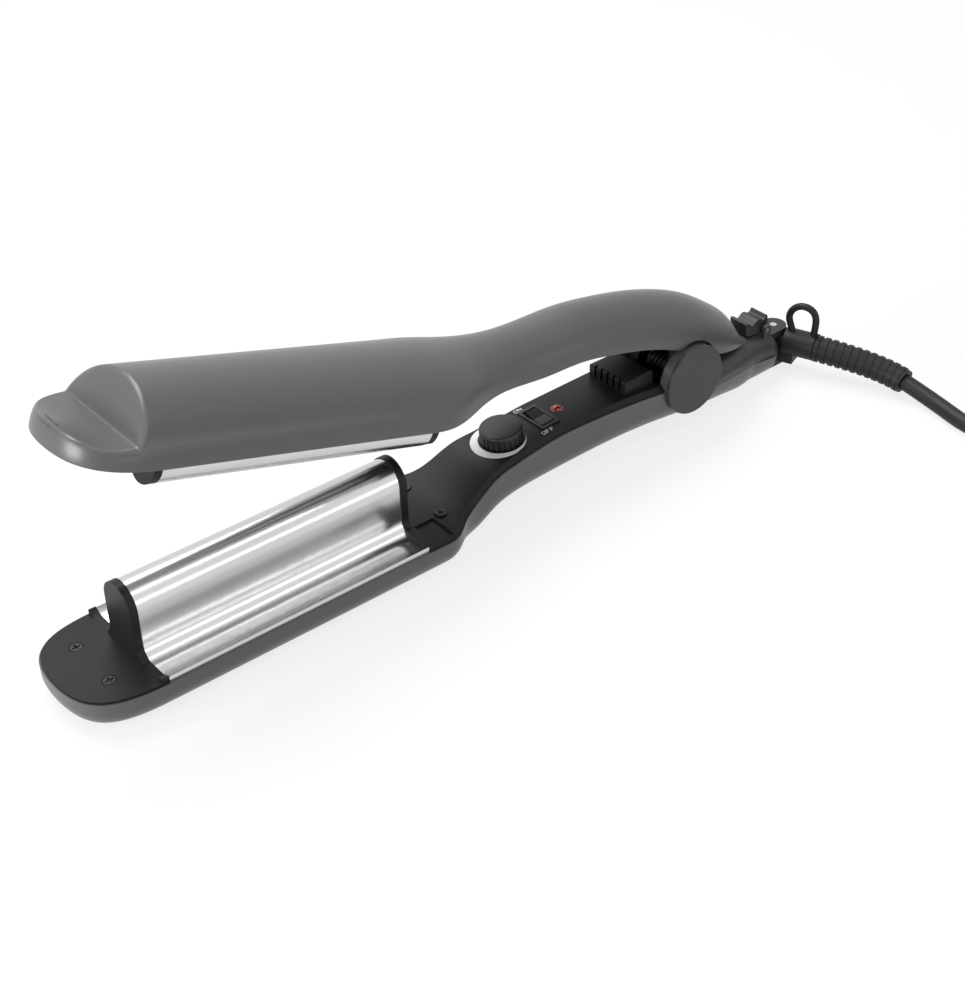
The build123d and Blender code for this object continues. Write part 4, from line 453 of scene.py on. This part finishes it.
def through(places, values, at):
    """Natural cubic spline: cubic pieces through the values, with equal slope and bend where they meet."""
    places, values = np.asarray(places, float), np.asarray(values, float)
    gap, step = np.diff(places), np.diff(values)
    system = np.eye(len(places))
    inside = np.arange(1, len(places) - 1)
    system[inside, inside - 1], system[inside, inside] = gap[:-1], 2 * (gap[:-1] + gap[1:])
    system[inside, inside + 1] = gap[1:]
    bend = np.linalg.solve(system, np.concatenate([[0], 3 * np.diff(step / gap), [0]]))
    i = np.clip(np.searchsorted(places, at) - 1, 0, len(places) - 2)
    x = at - places[i]
    slope = step[i] / gap[i] - gap[i] * (2 * bend[i] + bend[i + 1]) / 3
    return values[i] + x * (slope + x * (bend[i] + x * (bend[i + 1] - bend[i]) / (3 * gap[i])))


def lower_of(a, b, blend):
    """The lower of two heights, rounded over where they come within blend of each other."""
    h = np.clip(0.5 + 0.5 * (b - a) / blend, 0, 1)
    return b * (1 - h) + a * h - blend * h * (1 - h)


head_end, rim, crest, dome_half = 0.05525, 0.0218, 0.0446, 0.0257
shoulder_rise, tail_length, notch, shell_wall = 0.0005, 0.0388, 0.0158, 0.0016

# The nose's plan is a cubic curve that leaves the tip square and meets the head in line with it.
nose_reach, nose_fullness, nose_lean = 0.0295, 0.70, 0.0013
t = np.linspace(0, 1, 130)
nose_x = (1 - t) ** 3 + 3 * (1 - t) ** 2 * t + 3 * nose_fullness * (1 - t) * t ** 2
nose_y = 3 * nose_fullness * (1 - t) ** 2 * t + 3 * (1 - t) * t ** 2 + t ** 3

# Stations of the handle: share of the way (1 at the hinge, 2 at the tail), half width, lower edge
# above the rim and top above the crest, all in millimetres.
handle_share, handle_half, handle_low, handle_top = np.array([
    (-0.30, 25.7, 0.0, 0.0), (0.00, 25.7, 0.0, 0.0), (0.05, 25.5, 0.6, 0.0), (0.12, 22.9, 2.6, -0.3),
    (0.18, 19.2, 4.6, -0.3), (0.24, 16.6, 6.7, 0.1), (0.32, 15.0, 8.7, 1.5), (0.42, 14.6, 11.1, 5.0),
    (0.53, 14.6, 15.2, 9.3), (0.66, 14.7, 17.3, 12.2), (0.81, 14.8, 17.7, 13.6), (0.92, 14.8, 16.0, 13.0),
    (1.08, 14.8, 13.6, 10.6), (1.45, 13.9, 12.2, 6.0), (1.75, 11.8, 12.8, -0.4), (1.90, 9.8, 13.3, -6.0),
    (2.00, 7.8, 13.5, -8.0),
]).T
share = np.concatenate([np.linspace(0, 1, 90)[1:], np.linspace(1, 2, 50)[1:]])
handle_x, stations = [
    np.where(way < 1, head_end + way * (hinge_x - head_end), hinge_x + (way - 1) * tail_length)
    for way in (share, handle_share)
]
half = through(stations, handle_half, handle_x) / 1000
low_edge = rim + through(stations, handle_low, handle_x) / 1000
high_edge = crest + through(stations, handle_top, handle_x) / 1000
head_x = np.linspace(-head_end, head_end, 24)[1:]
ahead = np.concatenate([nose_x, np.zeros(len(head_x) + len(share))])
section_half = np.concatenate([dome_half * nose_y, np.full(len(head_x), dome_half), half])
section_low = np.concatenate([np.full(len(t) + len(head_x), rim), low_edge])
section_top = np.concatenate([np.full(len(t) + len(head_x), crest), high_edge])
base_x = np.concatenate([np.full(len(t), -head_end), head_x, handle_x])

# Each section is a quarter of an ellipse over a short straight side, from the edge to the middle
# line. Beside the hinge it starts higher, on the notch's circle round the pin.
near_hinge = np.clip(1 - ((base_x - hinge_x) / notch) ** 2, 0, None)
cut = np.where(near_hinge > 0, hinge_z + notch * np.sqrt(near_hinge), 0)
side_top = section_low + shoulder_rise
rise = section_top - side_top
first = np.arcsin(np.clip((np.maximum(cut, side_top) - side_top) / rise, 0, 1))
across = np.linspace(0, 1, 60)
turn = first[:, None] + (np.pi / 2 - first[:, None]) * across
lean = np.minimum(dome_half * (1 - np.cos(turn)), nose_lean)
surface_x = base_x[:, None] - (nose_reach - lean) * ahead[:, None]
surface_y = section_half[:, None] * np.cos(turn)
surface_z = side_top[:, None] + rise[:, None] * np.sin(turn)

# The thumb scoop at the nose: a hollow lip that runs up into a steep flat facet, and the dome is
# kept under both with a rounded edge.
lip_places, lip_heights = [-0.0848, -0.0800, -0.0740, -0.0640], [0.0306, 0.0292, 0.0284, 0.0291]
facet_foot_x, facet_foot_z, facet_lean = -0.06475, 0.0290, np.radians(17.0)
scoop_end, scoop_round, edge_places, edge_rounds = -0.045, 0.0016, [-0.074, -0.062], [0.0022, 0.0058]
lip = through(lip_places, lip_heights, np.clip(surface_x, lip_places[0], lip_places[-1]))
facet = facet_foot_z + (surface_x - facet_foot_x) / np.tan(facet_lean)
scoop = -lower_of(-lip, -facet, scoop_round)
rounding = np.interp(surface_x, edge_places, edge_rounds)
surface_z = np.where(surface_x < scoop_end, lower_of(surface_z, scoop, rounding), surface_z)
foot_z = np.maximum(section_low, np.minimum(cut, surface_z[:, 0]))
foot = np.stack([surface_x[:, 0], surface_y[:, 0], foot_z], -1)
near_side = np.concatenate([foot[:, None], np.stack([surface_x, surface_y, surface_z], -1)], 1)
far_side = near_side[:, :-1][:, ::-1] * [1, -1, 1]
shell_points = np.concatenate([near_side, far_side], 1)
tail_middle = shell_points[-1].mean(0)
shell_points = np.concatenate([shell_points, np.broadcast_to(tail_middle, shell_points[-1:].shape)])
upper_skin = skin("upper_skin", [opened(shell_points)], "upper_arm", shell_grey, shell_wall)
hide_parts("upper_shell")
